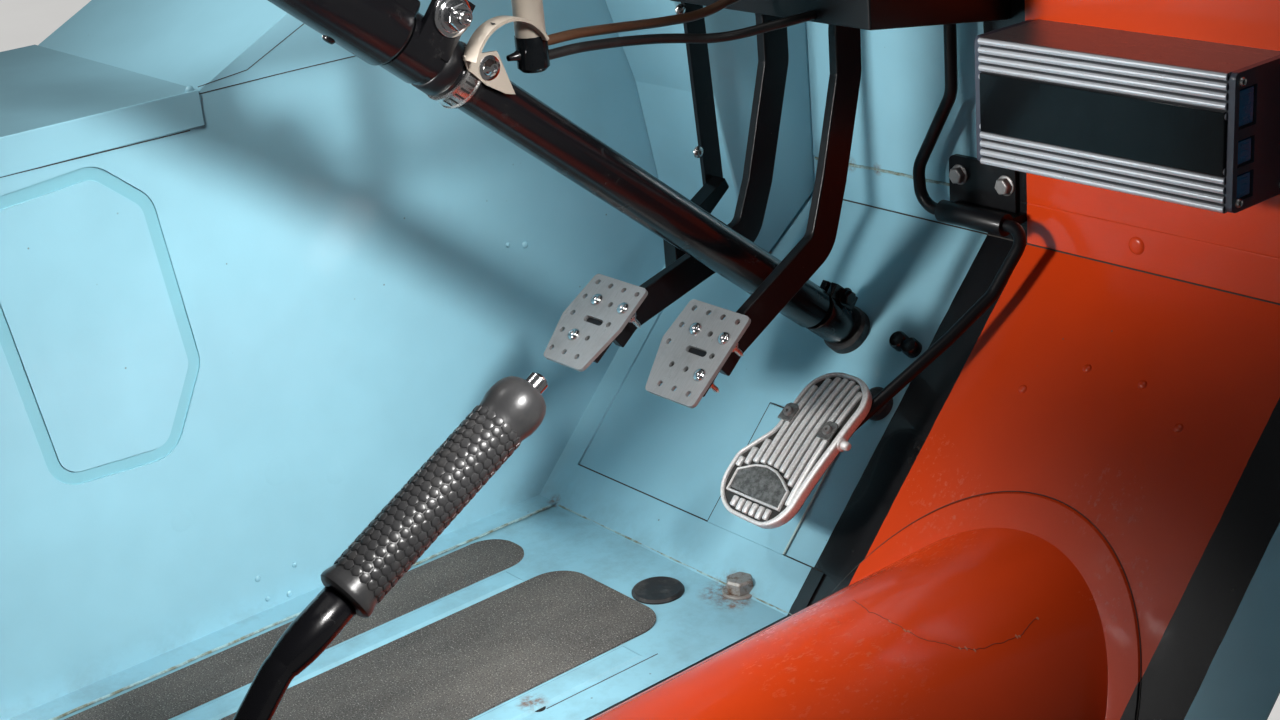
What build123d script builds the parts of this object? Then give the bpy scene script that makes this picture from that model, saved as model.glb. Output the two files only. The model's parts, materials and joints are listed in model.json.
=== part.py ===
"""Driver's footwell of a small open utility car, with its pedals, steering column and handbrake.

Millimetres. +X is to the passenger's side, +Y forward, +Z up. The origin is under the middle of the
whole piece, at the floor that it stands on. Places inside the script are given in the layout frame:
x from the tunnel's centre line, y forward from the bend between floor and toe board, z up from the
top of the floor sheet.
"""

import os
from math import cos, radians, sin, sqrt, tan

from build123d import *

os.makedirs("parts", exist_ok=True)

# Body shell: driving sizes
SHEET = 2.0
HALF_INSIDE = 447.0
SIDE_BOX_WIDTH = 265.0
RIGHT_REACH = 200.0
FLOOR_LENGTH = 560.0
TOE_ANGLE = 45.8
TOE_LENGTH = 312.0
CROSS_HEIGHT = 31.0
CROSS_DEPTH = 60.0
CROSS_LAP = 25.0
SHELL_TOP = 505.0
SIDE_BOX_TOP = 394.0
WING_FOOT_Y = -240.0
WING_ANGLE = 27.0
LID_LIP = 25.0
SILL_FLANGE = 23.0
FLOOR_LAP = 36.0

# Tunnel
TUNNEL_R = 122.0
TUNNEL_DROP = 38.0
COLLAR_WIDTH = 18.0

# Pressed patch, mats and plug on the floor
PATCH_ASIDE = 5.0
PATCH_WIDTH = 82.0
PATCH_LENGTH = 102.0
MAT_THICK = 1.5
MATS = {  # name: (gap from the side wall, width, gap from the toe board's foot)
    "mat_narrow": (29.0, 53.0, 66.0),
    "mat_wide": (111.0, 125.0, 62.0),
}
MAT_CORNER = 26.0
FLOOR_RIBS = [  # (gap from the side wall, width, gap from the toe board's foot)
    (85.0, 23.0, 97.0),
    (238.0, 23.0, 108.0),
]
RIB_HEIGHT = 1.6
RIB_TAPER = 60.0
PLUG_ASIDE = -20.0
PLUG_Y = -41.0
PLUG_R = 19.4
PLUG_THICK = 2.5
PLUG_BEVEL = 1.2

# Wheel arch corner: (y, z) of its rear face below the shell's top, and where that face ends
ARCH_FACE = [(160.0, 166.0), (150.0, 235.0), (135.0, 318.0), (114.0, 380.0)]
ARCH_TOP_Y = 72.0
ARCH_WIDTH_REAR = 98.0
ARCH_WIDTH_FRONT = 116.0
ARCH_CLEAR = 1.0

# Steering column
COLUMN_RISE = 39.5
COLUMN_UP_TOE = 210.6
TUBE_R = 16.0
SHAFT_R = 9.5
SHAFT_TOP_R = 8.5
SHAFT_TOP_LENGTH = 26.0
SHAFT_FOOT_R = 8.0
SHAFT_FOOT_LENGTH = 22.0
RUN_CLEARANCE = 0.05
TUBE_FROM = 48.0
SLEEVE_FROM = 410.0
SLEEVE_R = 18.0
SHOULDER_FROM = 446.0
SHOULDER_R = 19.5
COWL_FROM = 470.0
COWL_R = 22.0
COWL_BEVEL = 3.5
COWL_BLOCK_WIDTH = 35.0
COWL_TO = 562.0
SHAFT_TO = 588.0
SHAFT_FROM = -30.0
BUSH_R = 18.5
BUSH_LENGTH = 9.0
BUSH_BEVEL = 2.0
CLAMP_FROM = 14.0
CLAMP_TO = 42.0
CLAMP_R = 15.0
EAR_FROM = 440.0
EAR_TO_COWL = 4.0
EAR_THICK = 5.0
EAR_HEIGHT = 38.0
BAND_AT = 419.0
BAND_WIDTH = 12.0
BAND_THICK = 1.2

# Pedal box and cross shaft
PEDAL_BOX_WIDTH = 200.0
PEDAL_BOX_DEPTH = 137.5
PEDAL_BOX_HEIGHT = 101.0
PEDAL_BOX_RAKE = 20.0
PEDAL_BOX_PLATE = 4.0
PIVOT_BEHIND = 38.0
PIVOT_DOWN = 39.0
PIVOT_R = 7.0
EYE_R = 15.0
EYE_WIDTH = 22.0
LEVER_THICK = 8.0
LEVER_WIDTH = 24.0
LEVER_BEND_R = 20.0
PAD_THICK = 3.0
FOOT_PLATE = (44.0, 52.0, 5.0)
PAD_HOLE_R = 2.2
PAD_CORNER_R = 4.0

# Throttle
TREAD_ASIDE = 65.0
THROTTLE_STANDS_OFF = 21.5
THROTTLE_UP = 19.3
THROTTLE_ROD_R = 4.5
THROTTLE_TUBE_R = 8.0
THROTTLE_TUBE = (-13.0, 47.0)  # ends, measured across from the tread's middle
THROTTLE_PLATE = (-21.0, 41.0, 12.3, 56.3)  # left, right, low and high edges, over the toe board's top
THROTTLE_PLATE_THICK = 4.0
THROTTLE_PLATE_CORNER = 5.0
THROTTLE_WEB = 6.0
TREAD_CENTRE = (24.7, 117.9)
TREAD_TILT = 39.0
TREAD_CURVE = 330.0
TREAD_THICK = 8.0
RIB_PITCH = 6.6
RIB_WIDTH = 5.0
RIB_DEPTH = 2.4
TREAD_RIM = 3.5

# Amplifier
AMP_LEFT = -105.0
AMP_RIGHT = 86.0
AMP_DEPTH = 62.5
AMP_FOOT_Z = 300.0
AMP_HEIGHT = 87.0
AMP_END = 5.0
AMP_END_CORNER = 4.0
AMP_SOCKETS = [  # (back, up, width, height)
    (16.0, 64.0, 18.0, 25.0), (15.5, 36.5, 17.0, 17.0), (15.5, 15.0, 17.0, 17.0),
]
AMP_SOCKET_DEPTH = 3.0
FIN_COUNT = 5
FIN_PITCH = 6.0
FIN_R = 2.4

# Handbrake
HANDBRAKE_X = 0.0
HANDBRAKE_FROM_REAR = 45.0
HANDBRAKE_OVER_TUNNEL = 38.0
HANDBRAKE_PIN_R = 5.0
HANDBRAKE_PIN_LENGTH = 34.0
CHEEK_GAP = 20.0
CHEEK_THICK = 4.0
HUB_R = 13.0
HUB_WIDTH = 18.0
GRIP_REACH = (88.0, 124.0)
GRIP_ANGLE = 29.2
GRIP_LENGTH = 140.0
GRIP_R = 15.5
GRIP_WAIST_R = 14.4
HANDBRAKE_ROD_R = 8.0

# Worked out from the driving sizes
TOE_Y = TOE_LENGTH * cos(radians(TOE_ANGLE))
TOE_Z = TOE_LENGTH * sin(radians(TOE_ANGLE))
CROSS_TOP = TOE_Z + CROSS_HEIGHT
FRONT_Y = TOE_Y + CROSS_DEPTH
TUNNEL_X = (HALF_INSIDE + SIDE_BOX_WIDTH - RIGHT_REACH) / 2
BEND_Y = (FLOOR_LENGTH - FRONT_Y) / 2
PEDAL_BOX_LEFT = ARCH_WIDTH_FRONT + ARCH_CLEAR - HALF_INSIDE
PEDAL_BOX_RIGHT = PEDAL_BOX_LEFT + PEDAL_BOX_WIDTH
PEDAL_BOX_REAR = TOE_Y - PEDAL_BOX_DEPTH
PEDAL_BOX_FOOT = SHELL_TOP - PEDAL_BOX_HEIGHT
PIVOT_Y = PEDAL_BOX_REAR + PIVOT_BEHIND
PIVOT_Z = SHELL_TOP - PIVOT_DOWN
COLUMN_X = PEDAL_BOX_LEFT + PEDAL_BOX_WIDTH / 2
TREAD_X = COLUMN_X + TREAD_ASIDE
THROTTLE_Y = TOE_Y - THROTTLE_STANDS_OFF
THROTTLE_Z = TOE_Z + THROTTLE_UP
AMP_FRONT_Y = TOE_Y - AMP_DEPTH
TUNNEL_TOP = TUNNEL_R - TUNNEL_DROP
HANDBRAKE_PIVOT = (HANDBRAKE_FROM_REAR - FLOOR_LENGTH, TUNNEL_TOP + HANDBRAKE_OVER_TUNNEL)
GRIP_FOOT = (HANDBRAKE_PIVOT[0] + GRIP_REACH[0], HANDBRAKE_PIVOT[1] + GRIP_REACH[1])
FLOOR_Z = SHEET
TUNNEL_FOOT = sqrt((TUNNEL_R - SHEET) ** 2 - TUNNEL_DROP**2)
LEFT_REACH = HALF_INSIDE + SIDE_BOX_WIDTH
BIG = 2000.0


def place(x, y, z):
    """A point of the layout frame in the part's own frame."""
    return (TUNNEL_X + x, BEND_Y + y, FLOOR_Z + z)


def side_plane(x):
    """Sketch forward and up, extrude to the passenger's side."""
    return Plane(origin=place(x, 0, 0), x_dir=(0, 1, 0), z_dir=(1, 0, 0))


def floor_plane(z=0.0):
    """Sketch across and forward, extrude up."""
    return Plane(origin=place(0, 0, z), x_dir=(1, 0, 0), z_dir=(0, 0, 1))


def cross_plane(y):
    """Sketch across and up, extrude to the rear."""
    return Plane(origin=place(0, y, 0), x_dir=(1, 0, 0), z_dir=(0, -1, 0))


def sloped_plane(x, y, z, rise):
    """Sketch across and up a slope that rises forward, extrude away from it, up and to the rear."""
    angle = radians(rise)
    return Plane(origin=place(x, y, z), x_dir=(1, 0, 0), z_dir=(0, -sin(angle), cos(angle)))


def toe_plane(x=0.0, up=0.0):
    """The toe board's face, at a distance up its slope."""
    angle = radians(TOE_ANGLE)
    return sloped_plane(x, up * cos(angle), up * sin(angle), TOE_ANGLE)


def column_plane(along):
    """A plane square across the steering column, at a distance up its axis from the toe board."""
    toe, rise = radians(TOE_ANGLE), radians(COLUMN_RISE)
    y = COLUMN_UP_TOE * cos(toe) - along * cos(rise)
    z = COLUMN_UP_TOE * sin(toe) + along * sin(rise)
    return Plane(origin=place(COLUMN_X, y, z), x_dir=(1, 0, 0), z_dir=(0, -cos(rise), sin(rise)))


def save(piece, name):
    """Label a finished piece and write its STEP file."""
    piece.part.label = name
    export_step(piece.part, f"parts/{name}.step")


# Floor sheets, with the front edge turned up over the toe board
with BuildPart() as floor_sheet:
    with BuildSketch(floor_plane(-SHEET)):
        with Locations(((-HALF_INSIDE - TUNNEL_FOOT) / 2, -FLOOR_LENGTH / 2)):
            Rectangle(HALF_INSIDE - TUNNEL_FOOT, FLOOR_LENGTH)
    extrude(amount=SHEET)
    lap_left = -(HALF_INSIDE - SILL_FLANGE)
    lap_right = -(TUNNEL_R + COLLAR_WIDTH + SHEET)
    with BuildSketch(side_plane(lap_left)):
        with BuildLine():
            toe = radians(TOE_ANGLE)
            edge = (FLOOR_LAP * cos(toe), FLOOR_LAP * sin(toe))
            inner = (edge[0] - SHEET * sin(toe), edge[1] + SHEET * cos(toe))
            under = (-SHEET / tan(toe), -SHEET)
            crease = (-SHEET / sin(toe), 0)
            Polyline((-CROSS_LAP, -SHEET), under, edge, inner, crease, (-CROSS_LAP, 0), close=True)
        make_face()
    extrude(amount=lap_right - lap_left)
    for wall_gap, rib_width, toe_gap in FLOOR_RIBS:
        with BuildSketch(floor_plane()):
            with Locations((wall_gap + rib_width / 2 - HALF_INSIDE, -(toe_gap + FLOOR_LENGTH) / 2)):
                Rectangle(rib_width, FLOOR_LENGTH - toe_gap)
        extrude(amount=RIB_HEIGHT, taper=RIB_TAPER)
save(floor_sheet, "floor_sheet")

with BuildPart() as floor_sheet_right:
    with BuildSketch(floor_plane(-SHEET)):
        with Locations(((RIGHT_REACH + TUNNEL_FOOT) / 2, -FLOOR_LENGTH / 2)):
            Rectangle(RIGHT_REACH - TUNNEL_FOOT, FLOOR_LENGTH)
    extrude(amount=SHEET)
save(floor_sheet_right, "floor_sheet_right")

# Toe board, open where the tunnel runs through
with BuildPart() as toe_board:
    with BuildSketch(toe_plane()):
        with Locations(((RIGHT_REACH - HALF_INSIDE) / 2, TOE_LENGTH / 2)):
            Rectangle(RIGHT_REACH + HALF_INSIDE, TOE_LENGTH)
    extrude(amount=-SHEET)
    with BuildSketch(cross_plane(-CROSS_LAP)):
        with Locations((0, -TUNNEL_DROP)):
            Circle(TUNNEL_R)
    extrude(amount=-BIG, mode=Mode.SUBTRACT)
    with BuildSketch(column_plane(-BUSH_R)):
        Circle(SHAFT_R + SHEET)
    extrude(amount=2 * BUSH_R, mode=Mode.SUBTRACT)
save(toe_board, "toe_board")

# Crossmember at the top of the toe board, lapped behind it
with BuildPart() as crossmember:
    with BuildSketch(side_plane(-HALF_INSIDE)):
        with BuildLine():
            toe = radians(TOE_ANGLE)
            back = (TOE_Y + SHEET * sin(toe), TOE_Z - SHEET * cos(toe))
            low = (back[0] - CROSS_LAP * cos(toe), back[1] - CROSS_LAP * sin(toe))
            Polyline(
                (TOE_Y, TOE_Z), (TOE_Y, CROSS_TOP), (FRONT_Y, CROSS_TOP), (FRONT_Y, low[1]), low, back,
                close=True,
            )
        make_face()
    extrude(amount=HALF_INSIDE + RIGHT_REACH)
save(crossmember, "crossmember")

with BuildPart() as bulkhead:
    with BuildSketch(side_plane(-HALF_INSIDE)):
        with BuildLine():
            Polyline(
                (TOE_Y, CROSS_TOP), (TOE_Y, SHELL_TOP), (FRONT_Y, SHELL_TOP), (FRONT_Y, SHELL_TOP - SHEET),
                (TOE_Y + SHEET, SHELL_TOP - SHEET), (TOE_Y + SHEET, CROSS_TOP), close=True,
            )
        make_face()
    extrude(amount=HALF_INSIDE + RIGHT_REACH)
save(bulkhead, "bulkhead")

# Side box under the sill, with the wing's rear slope and a pressed band on its inner wall
WING_TOP_Y = WING_FOOT_Y + (SHELL_TOP - SIDE_BOX_TOP + SHEET) / tan(radians(WING_ANGLE))
BAND = [(-392.0, 150.0), (-303.0, 145.0), (-272.0, 206.0), (-286.0, 330.0), (-322.0, 362.0), (-420.0, 354.0)]
BAND_CORNER = 24.0
BAND_WIDTH_PRESSED = 9.0
BAND_DEPTH = 1.6
with BuildPart() as side_box:
    with BuildSketch(side_plane(-HALF_INSIDE)):
        with BuildLine():
            Polyline(
                (-FLOOR_LENGTH, -SHEET), (0, -SHEET), (TOE_Y, TOE_Z - SHEET), (FRONT_Y, TOE_Z - SHEET),
                (FRONT_Y, SHELL_TOP), (WING_TOP_Y, SHELL_TOP), (WING_FOOT_Y, SIDE_BOX_TOP - SHEET),
                (-FLOOR_LENGTH, SIDE_BOX_TOP - SHEET), close=True,
            )
        make_face()
    extrude(amount=-SIDE_BOX_WIDTH)
    with BuildSketch(side_plane(-HALF_INSIDE)):
        with BuildLine():
            toe = radians(TOE_ANGLE)
            lean = SHEET * tan(toe / 2)
            top = (TOE_Y - SHEET * sin(toe), TOE_Z + SHEET * cos(toe))
            Polyline(
                (-FLOOR_LENGTH, 0), (0, 0), (TOE_Y, TOE_Z), top, (-lean, SHEET), (-FLOOR_LENGTH, SHEET),
                close=True,
            )
        make_face()
    extrude(amount=SILL_FLANGE)
    with BuildSketch(side_plane(-HALF_INSIDE)) as band:
        with BuildLine():
            FilletPolyline(*BAND, radius=BAND_CORNER, close=True)
        make_face()
        offset(amount=-BAND_WIDTH_PRESSED, mode=Mode.SUBTRACT)
    extrude(amount=-BAND_DEPTH, mode=Mode.SUBTRACT)
save(side_box, "side_box")

with BuildPart() as side_box_lid:
    with BuildSketch(cross_plane(WING_FOOT_Y)):
        with BuildLine():
            Polyline(
                (-LEFT_REACH, SIDE_BOX_TOP - SHEET), (-HALF_INSIDE, SIDE_BOX_TOP - SHEET),
                (-HALF_INSIDE, SIDE_BOX_TOP - LID_LIP), (SHEET - HALF_INSIDE, SIDE_BOX_TOP - LID_LIP),
                (SHEET - HALF_INSIDE, SIDE_BOX_TOP), (-LEFT_REACH, SIDE_BOX_TOP), close=True,
            )
        make_face()
    extrude(amount=FLOOR_LENGTH + WING_FOOT_Y)
save(side_box_lid, "side_box_lid")

# Wheel arch corner, wider where it meets the bulkhead
with BuildPart() as wheel_arch:
    with BuildSketch(side_plane(-HALF_INSIDE)):
        with BuildLine():
            toe = radians(TOE_ANGLE)
            foot_y = ARCH_FACE[0][0]
            foot = (foot_y, foot_y * tan(toe) + SHEET / cos(toe))
            corner = (TOE_Y, TOE_Z + SHEET / cos(toe))
            Polyline(foot, *ARCH_FACE[1:], (ARCH_TOP_Y, SHELL_TOP), (TOE_Y, SHELL_TOP), corner, close=True)
        make_face()
    extrude(amount=ARCH_WIDTH_FRONT)
    rear_y = ARCH_FACE[1][0]
    with BuildSketch(floor_plane()):
        with BuildLine():
            edge_x = ARCH_WIDTH_REAR - HALF_INSIDE
            front_x = ARCH_WIDTH_FRONT - HALF_INSIDE
            slope = (front_x - edge_x) / (TOE_Y - rear_y)
            tail = (edge_x + slope * (ARCH_TOP_Y - rear_y), ARCH_TOP_Y)
            Polyline(tail, (front_x, TOE_Y), (front_x + BIG, TOE_Y), (front_x + BIG, ARCH_TOP_Y), close=True)
        make_face()
    extrude(amount=SHELL_TOP, mode=Mode.SUBTRACT)
save(wheel_arch, "wheel_arch")

# Tunnel with its collar on the toe board
with BuildPart() as tunnel:
    with BuildSketch(toe_plane()):
        with Locations((0, TOE_LENGTH / 2)):
            Rectangle(2 * (TUNNEL_R + COLLAR_WIDTH), TOE_LENGTH)
    extrude(amount=SHEET)
    with BuildSketch(cross_plane(-CROSS_LAP)):
        with Locations((0, -TUNNEL_DROP)):
            Circle(TUNNEL_R + COLLAR_WIDTH)
    extrude(amount=-BIG, mode=Mode.INTERSECT)
    with BuildSketch(cross_plane(TOE_Y)):
        with Locations((0, -TUNNEL_DROP)):
            Circle(TUNNEL_R)
    extrude(amount=FLOOR_LENGTH + TOE_Y)
    with BuildSketch(cross_plane(TOE_Y)):
        with Locations((0, -TUNNEL_DROP)):
            Circle(TUNNEL_R - SHEET)
    extrude(amount=FLOOR_LENGTH + TOE_Y, mode=Mode.SUBTRACT)
    with BuildSketch(toe_plane().offset(-SHEET)):
        Rectangle(BIG, BIG)
    extrude(amount=-BIG, mode=Mode.SUBTRACT)
    with BuildSketch(floor_plane()):
        Rectangle(BIG, BIG)
    extrude(amount=-BIG, mode=Mode.SUBTRACT)
save(tunnel, "tunnel")

# Pressed patch on the toe board
with BuildPart() as toe_patch:
    with BuildSketch(toe_plane(COLUMN_X + PATCH_ASIDE, FLOOR_LAP)):
        with Locations((0, PATCH_LENGTH / 2)):
            Rectangle(PATCH_WIDTH, PATCH_LENGTH)
    extrude(amount=SHEET)
save(toe_patch, "toe_patch")

# Grip mats, round at the front corners
for mat_name, (wall_gap, mat_width, toe_gap) in MATS.items():
    with BuildPart() as mat:
        with BuildSketch(floor_plane()):
            with Locations((wall_gap + mat_width / 2 - HALF_INSIDE, -(toe_gap + FLOOR_LENGTH) / 2)):
                Rectangle(mat_width, FLOOR_LENGTH - toe_gap)
        extrude(amount=MAT_THICK)
        fillet(mat.edges().filter_by(Axis.Z).group_by(Axis.Y)[-1], radius=min(MAT_CORNER, mat_width * 0.45))
    save(mat, mat_name)

# Rubber plug in the floor
with BuildPart() as floor_plug:
    with BuildSketch(floor_plane()):
        with Locations((COLUMN_X + PLUG_ASIDE, PLUG_Y)):
            Circle(PLUG_R)
    extrude(amount=PLUG_THICK)
    chamfer(floor_plug.edges().group_by(Axis.Z)[-1], length=PLUG_BEVEL)
save(floor_plug, "floor_plug")

# Steering column: bush at the toe board, tube with its sleeve, shoulder and ear, cowl, band, turning shaft
with BuildPart() as column_bush:
    with BuildSketch(toe_plane(COLUMN_X, COLUMN_UP_TOE)):
        Circle(BUSH_R)
    extrude(amount=BUSH_LENGTH)
    chamfer(column_bush.edges().group_by(Axis.Y)[0], length=BUSH_BEVEL)
    with BuildSketch(column_plane(-BUSH_R)):
        Circle(SHAFT_R + RUN_CLEARANCE)
    extrude(amount=3 * BUSH_R, mode=Mode.SUBTRACT)
save(column_bush, "column_bush")

with BuildPart() as column_tube:
    with BuildSketch(column_plane(TUBE_FROM)):
        Circle(TUBE_R)
    extrude(amount=COWL_TO - TUBE_FROM)
    with BuildSketch(column_plane(SLEEVE_FROM)):
        Circle(SLEEVE_R)
    extrude(amount=SHOULDER_FROM - SLEEVE_FROM)
    with BuildSketch(column_plane(SHOULDER_FROM)):
        Circle(SHOULDER_R)
    extrude(amount=COWL_FROM - SHOULDER_FROM)
    with BuildSketch(column_plane(EAR_FROM)):
        with Locations((SHOULDER_R - EAR_THICK / 2, EAR_HEIGHT / 2)):
            Rectangle(EAR_THICK, EAR_HEIGHT)
    extrude(amount=COWL_FROM - EAR_TO_COWL - EAR_FROM)
    with BuildSketch(column_plane(TUBE_FROM)):
        Circle(SHAFT_R + RUN_CLEARANCE)
    extrude(amount=COWL_TO - TUBE_FROM, mode=Mode.SUBTRACT)
save(column_tube, "column_tube")

with BuildPart() as column_cowl:
    with BuildSketch(column_plane(COWL_FROM)):
        Circle(COWL_R)
        with Locations((0, COWL_R / 2)):
            Rectangle(COWL_BLOCK_WIDTH, COWL_R)
    extrude(amount=COWL_TO - COWL_FROM)
    chamfer(column_cowl.faces().sort_by(Axis.Y)[-1].edges(), length=COWL_BEVEL)
    with BuildSketch(column_plane(COWL_FROM)):
        Circle(TUBE_R)
    extrude(amount=COWL_TO - COWL_FROM, mode=Mode.SUBTRACT)
save(column_cowl, "column_cowl")

with BuildPart() as band_clamp:
    with BuildSketch(column_plane(BAND_AT - BAND_WIDTH / 2)):
        Circle(SLEEVE_R + BAND_THICK)
        Circle(SLEEVE_R, mode=Mode.SUBTRACT)
    extrude(amount=BAND_WIDTH)
save(band_clamp, "band_clamp")

with BuildPart() as column_shaft:
    with BuildSketch(column_plane(SHAFT_FROM)):
        Circle(SHAFT_FOOT_R)
    extrude(amount=SHAFT_FOOT_LENGTH)
    with BuildSketch(column_plane(SHAFT_FROM + SHAFT_FOOT_LENGTH)):
        Circle(SHAFT_R)
    extrude(amount=SHAFT_TO - SHAFT_FROM - SHAFT_FOOT_LENGTH - SHAFT_TOP_LENGTH)
    with BuildSketch(column_plane(SHAFT_TO - SHAFT_TOP_LENGTH)):
        Circle(SHAFT_TOP_R)
    extrude(amount=SHAFT_TOP_LENGTH)
save(column_shaft, "column_shaft")

CLAMP_EAR = 24.0
CLAMP_EAR_WIDTH = 15.0
CLAMP_SPLIT = 3.0
with BuildPart() as pinch_clamp:
    with BuildSketch(column_plane(CLAMP_FROM)):
        Circle(CLAMP_R)
        with Locations((0, CLAMP_EAR / 2)):
            Rectangle(CLAMP_EAR_WIDTH, CLAMP_EAR)
        Circle(SHAFT_R, mode=Mode.SUBTRACT)
        with Locations((0, CLAMP_EAR / 2)):
            Rectangle(CLAMP_SPLIT, CLAMP_EAR, mode=Mode.SUBTRACT)
    extrude(amount=CLAMP_TO - CLAMP_FROM)
save(pinch_clamp, "pinch_clamp")

# Column stay from the pedal box back to the cowl
STAY_HALF_WIDTH = 16.0
STAY_THICK = 4.0
STAY_DOWN = 13.0
STAY_Z = SHELL_TOP - STAY_DOWN
STAY_SEAT = 30.0
with BuildPart() as column_stay:
    with BuildSketch(side_plane(COLUMN_X - STAY_HALF_WIDTH)):
        with BuildLine():
            toe, rise = radians(TOE_ANGLE), radians(COLUMN_RISE)
            along = (STAY_Z - COLUMN_UP_TOE * sin(toe) - COWL_R * cos(rise)) / sin(rise)
            knee_y = COLUMN_UP_TOE * cos(toe) - along * cos(rise) + COWL_R * sin(rise)
            heel = (knee_y - STAY_SEAT * cos(rise), STAY_Z + STAY_SEAT * sin(rise))
            heel_top = (heel[0] + STAY_THICK * sin(rise), heel[1] + STAY_THICK * cos(rise))
            knee_top = (knee_y + STAY_THICK * tan(rise / 2), STAY_Z + STAY_THICK)
            Polyline(
                (PEDAL_BOX_REAR, STAY_Z), (knee_y, STAY_Z), heel, heel_top, knee_top,
                (PEDAL_BOX_REAR, STAY_Z + STAY_THICK), close=True,
            )
        make_face()
    extrude(amount=2 * STAY_HALF_WIDTH)
save(column_stay, "column_stay")

# Stalk with its end cap, hung from the stay and held clear of the column
STALK_ASIDE = 18.0
STALK_Y = -130.0
STALK_R = 9.5
STALK_CAP = 22.0
STALK_CAP_R = 10.1
STALK_CAP_BEVEL = 2.5
STALK_CLEAR = 4.5
STALK_X = COLUMN_X + STALK_ASIDE
column_face_y = STALK_Y - STALK_CAP_R
column_along = (COLUMN_UP_TOE * cos(radians(TOE_ANGLE)) - column_face_y) / cos(radians(COLUMN_RISE))
column_face_z = COLUMN_UP_TOE * sin(radians(TOE_ANGLE)) + column_along * sin(radians(COLUMN_RISE))
STALK_FOOT = column_face_z + TUBE_R / cos(radians(COLUMN_RISE)) + STALK_CLEAR + STALK_CAP
with BuildPart() as stalk:
    with BuildSketch(floor_plane(STALK_FOOT)):
        with Locations((STALK_X, STALK_Y)):
            Circle(STALK_R)
    extrude(amount=STAY_Z - STALK_FOOT)
save(stalk, "stalk")

with BuildPart() as stalk_cap:
    with BuildSketch(floor_plane(STALK_FOOT)):
        with Locations((STALK_X, STALK_Y)):
            Circle(STALK_CAP_R)
    extrude(amount=-STALK_CAP)
    chamfer(stalk_cap.edges().group_by(Axis.Z)[0], length=STALK_CAP_BEVEL)
save(stalk_cap, "stalk_cap")

# Bracket between the band clamp and the stalk: a plate with a pointed tongue, and a strip arched over it
BRACKET_THICK = 2.0
BRACKET_STRIP = 14.0
BRACKET_BOSS_R = 6.0
BRACKET_SCREW = (-165.0, 421.0)
BRACKET_PLATE = [
    (-180.0, 424.0), (-182.0, 433.0), (-158.0, 431.0), (-148.0, 402.0), (-155.0, 404.0), (-168.0, 412.0),
]
BRACKET_ARCH = [(-181.0, 430.0), (-163.0, 448.5), (-128.0, 433.0)]
bracket_x = COLUMN_X + SLEEVE_R + BAND_THICK
with BuildPart() as column_bracket:
    with BuildSketch(side_plane(bracket_x)):
        with BuildLine():
            Polyline(*BRACKET_PLATE, close=True)
        make_face()
    extrude(amount=BRACKET_THICK)
    with BuildSketch(side_plane(bracket_x)):
        with BuildLine():
            ThreePointArc(*BRACKET_ARCH)
        trace(line_width=BRACKET_THICK)
    extrude(amount=BRACKET_STRIP)
    with BuildSketch(side_plane(COLUMN_X)):
        with Locations(BRACKET_SCREW):
            Circle(BRACKET_BOSS_R)
    extrude(amount=SLEEVE_R + BAND_THICK)
    with BuildSketch(column_plane(TUBE_FROM)):
        Circle(SLEEVE_R + BAND_THICK)
    extrude(amount=COWL_TO - TUBE_FROM, mode=Mode.SUBTRACT)
    with BuildSketch(floor_plane(STALK_FOOT - STALK_CAP)):
        with Locations((STALK_X, STALK_Y)):
            Circle(STALK_CAP_R)
    extrude(amount=STALK_CAP, mode=Mode.SUBTRACT)
    with BuildSketch(floor_plane(STALK_FOOT)):
        with Locations((STALK_X, STALK_Y)):
            Circle(STALK_R)
    extrude(amount=STAY_Z - STALK_FOOT, mode=Mode.SUBTRACT)
save(column_bracket, "column_bracket")

# Pedal box: rear wall, cheeks, roof and front flange, open below
with BuildPart() as pedal_box:
    with BuildSketch(side_plane(PEDAL_BOX_LEFT)):
        with BuildLine():
            Polyline(
                (PEDAL_BOX_REAR, PEDAL_BOX_FOOT), (PEDAL_BOX_REAR, SHELL_TOP), (TOE_Y, SHELL_TOP),
                (TOE_Y, PEDAL_BOX_FOOT - PEDAL_BOX_RAKE), close=True,
            )
        make_face()
    extrude(amount=PEDAL_BOX_RIGHT - PEDAL_BOX_LEFT)
    with BuildSketch(floor_plane(SHELL_TOP - PEDAL_BOX_PLATE)):
        with Locations((COLUMN_X, PEDAL_BOX_REAR + PEDAL_BOX_DEPTH / 2)):
            Rectangle(PEDAL_BOX_WIDTH - 2 * PEDAL_BOX_PLATE, PEDAL_BOX_DEPTH - 2 * PEDAL_BOX_PLATE)
    extrude(amount=-BIG, mode=Mode.SUBTRACT)
    with BuildSketch(side_plane(PEDAL_BOX_LEFT)):
        with Locations((PIVOT_Y, PIVOT_Z)):
            Circle(PIVOT_R)
    extrude(amount=PEDAL_BOX_RIGHT - PEDAL_BOX_LEFT, mode=Mode.SUBTRACT)
save(pedal_box, "pedal_box")

with BuildPart() as pedal_shaft:
    with BuildSketch(side_plane(PEDAL_BOX_LEFT)):
        with Locations((PIVOT_Y, PIVOT_Z)):
            Circle(PIVOT_R)
    extrude(amount=PEDAL_BOX_RIGHT - PEDAL_BOX_LEFT)
save(pedal_shaft, "pedal_shaft")

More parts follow.
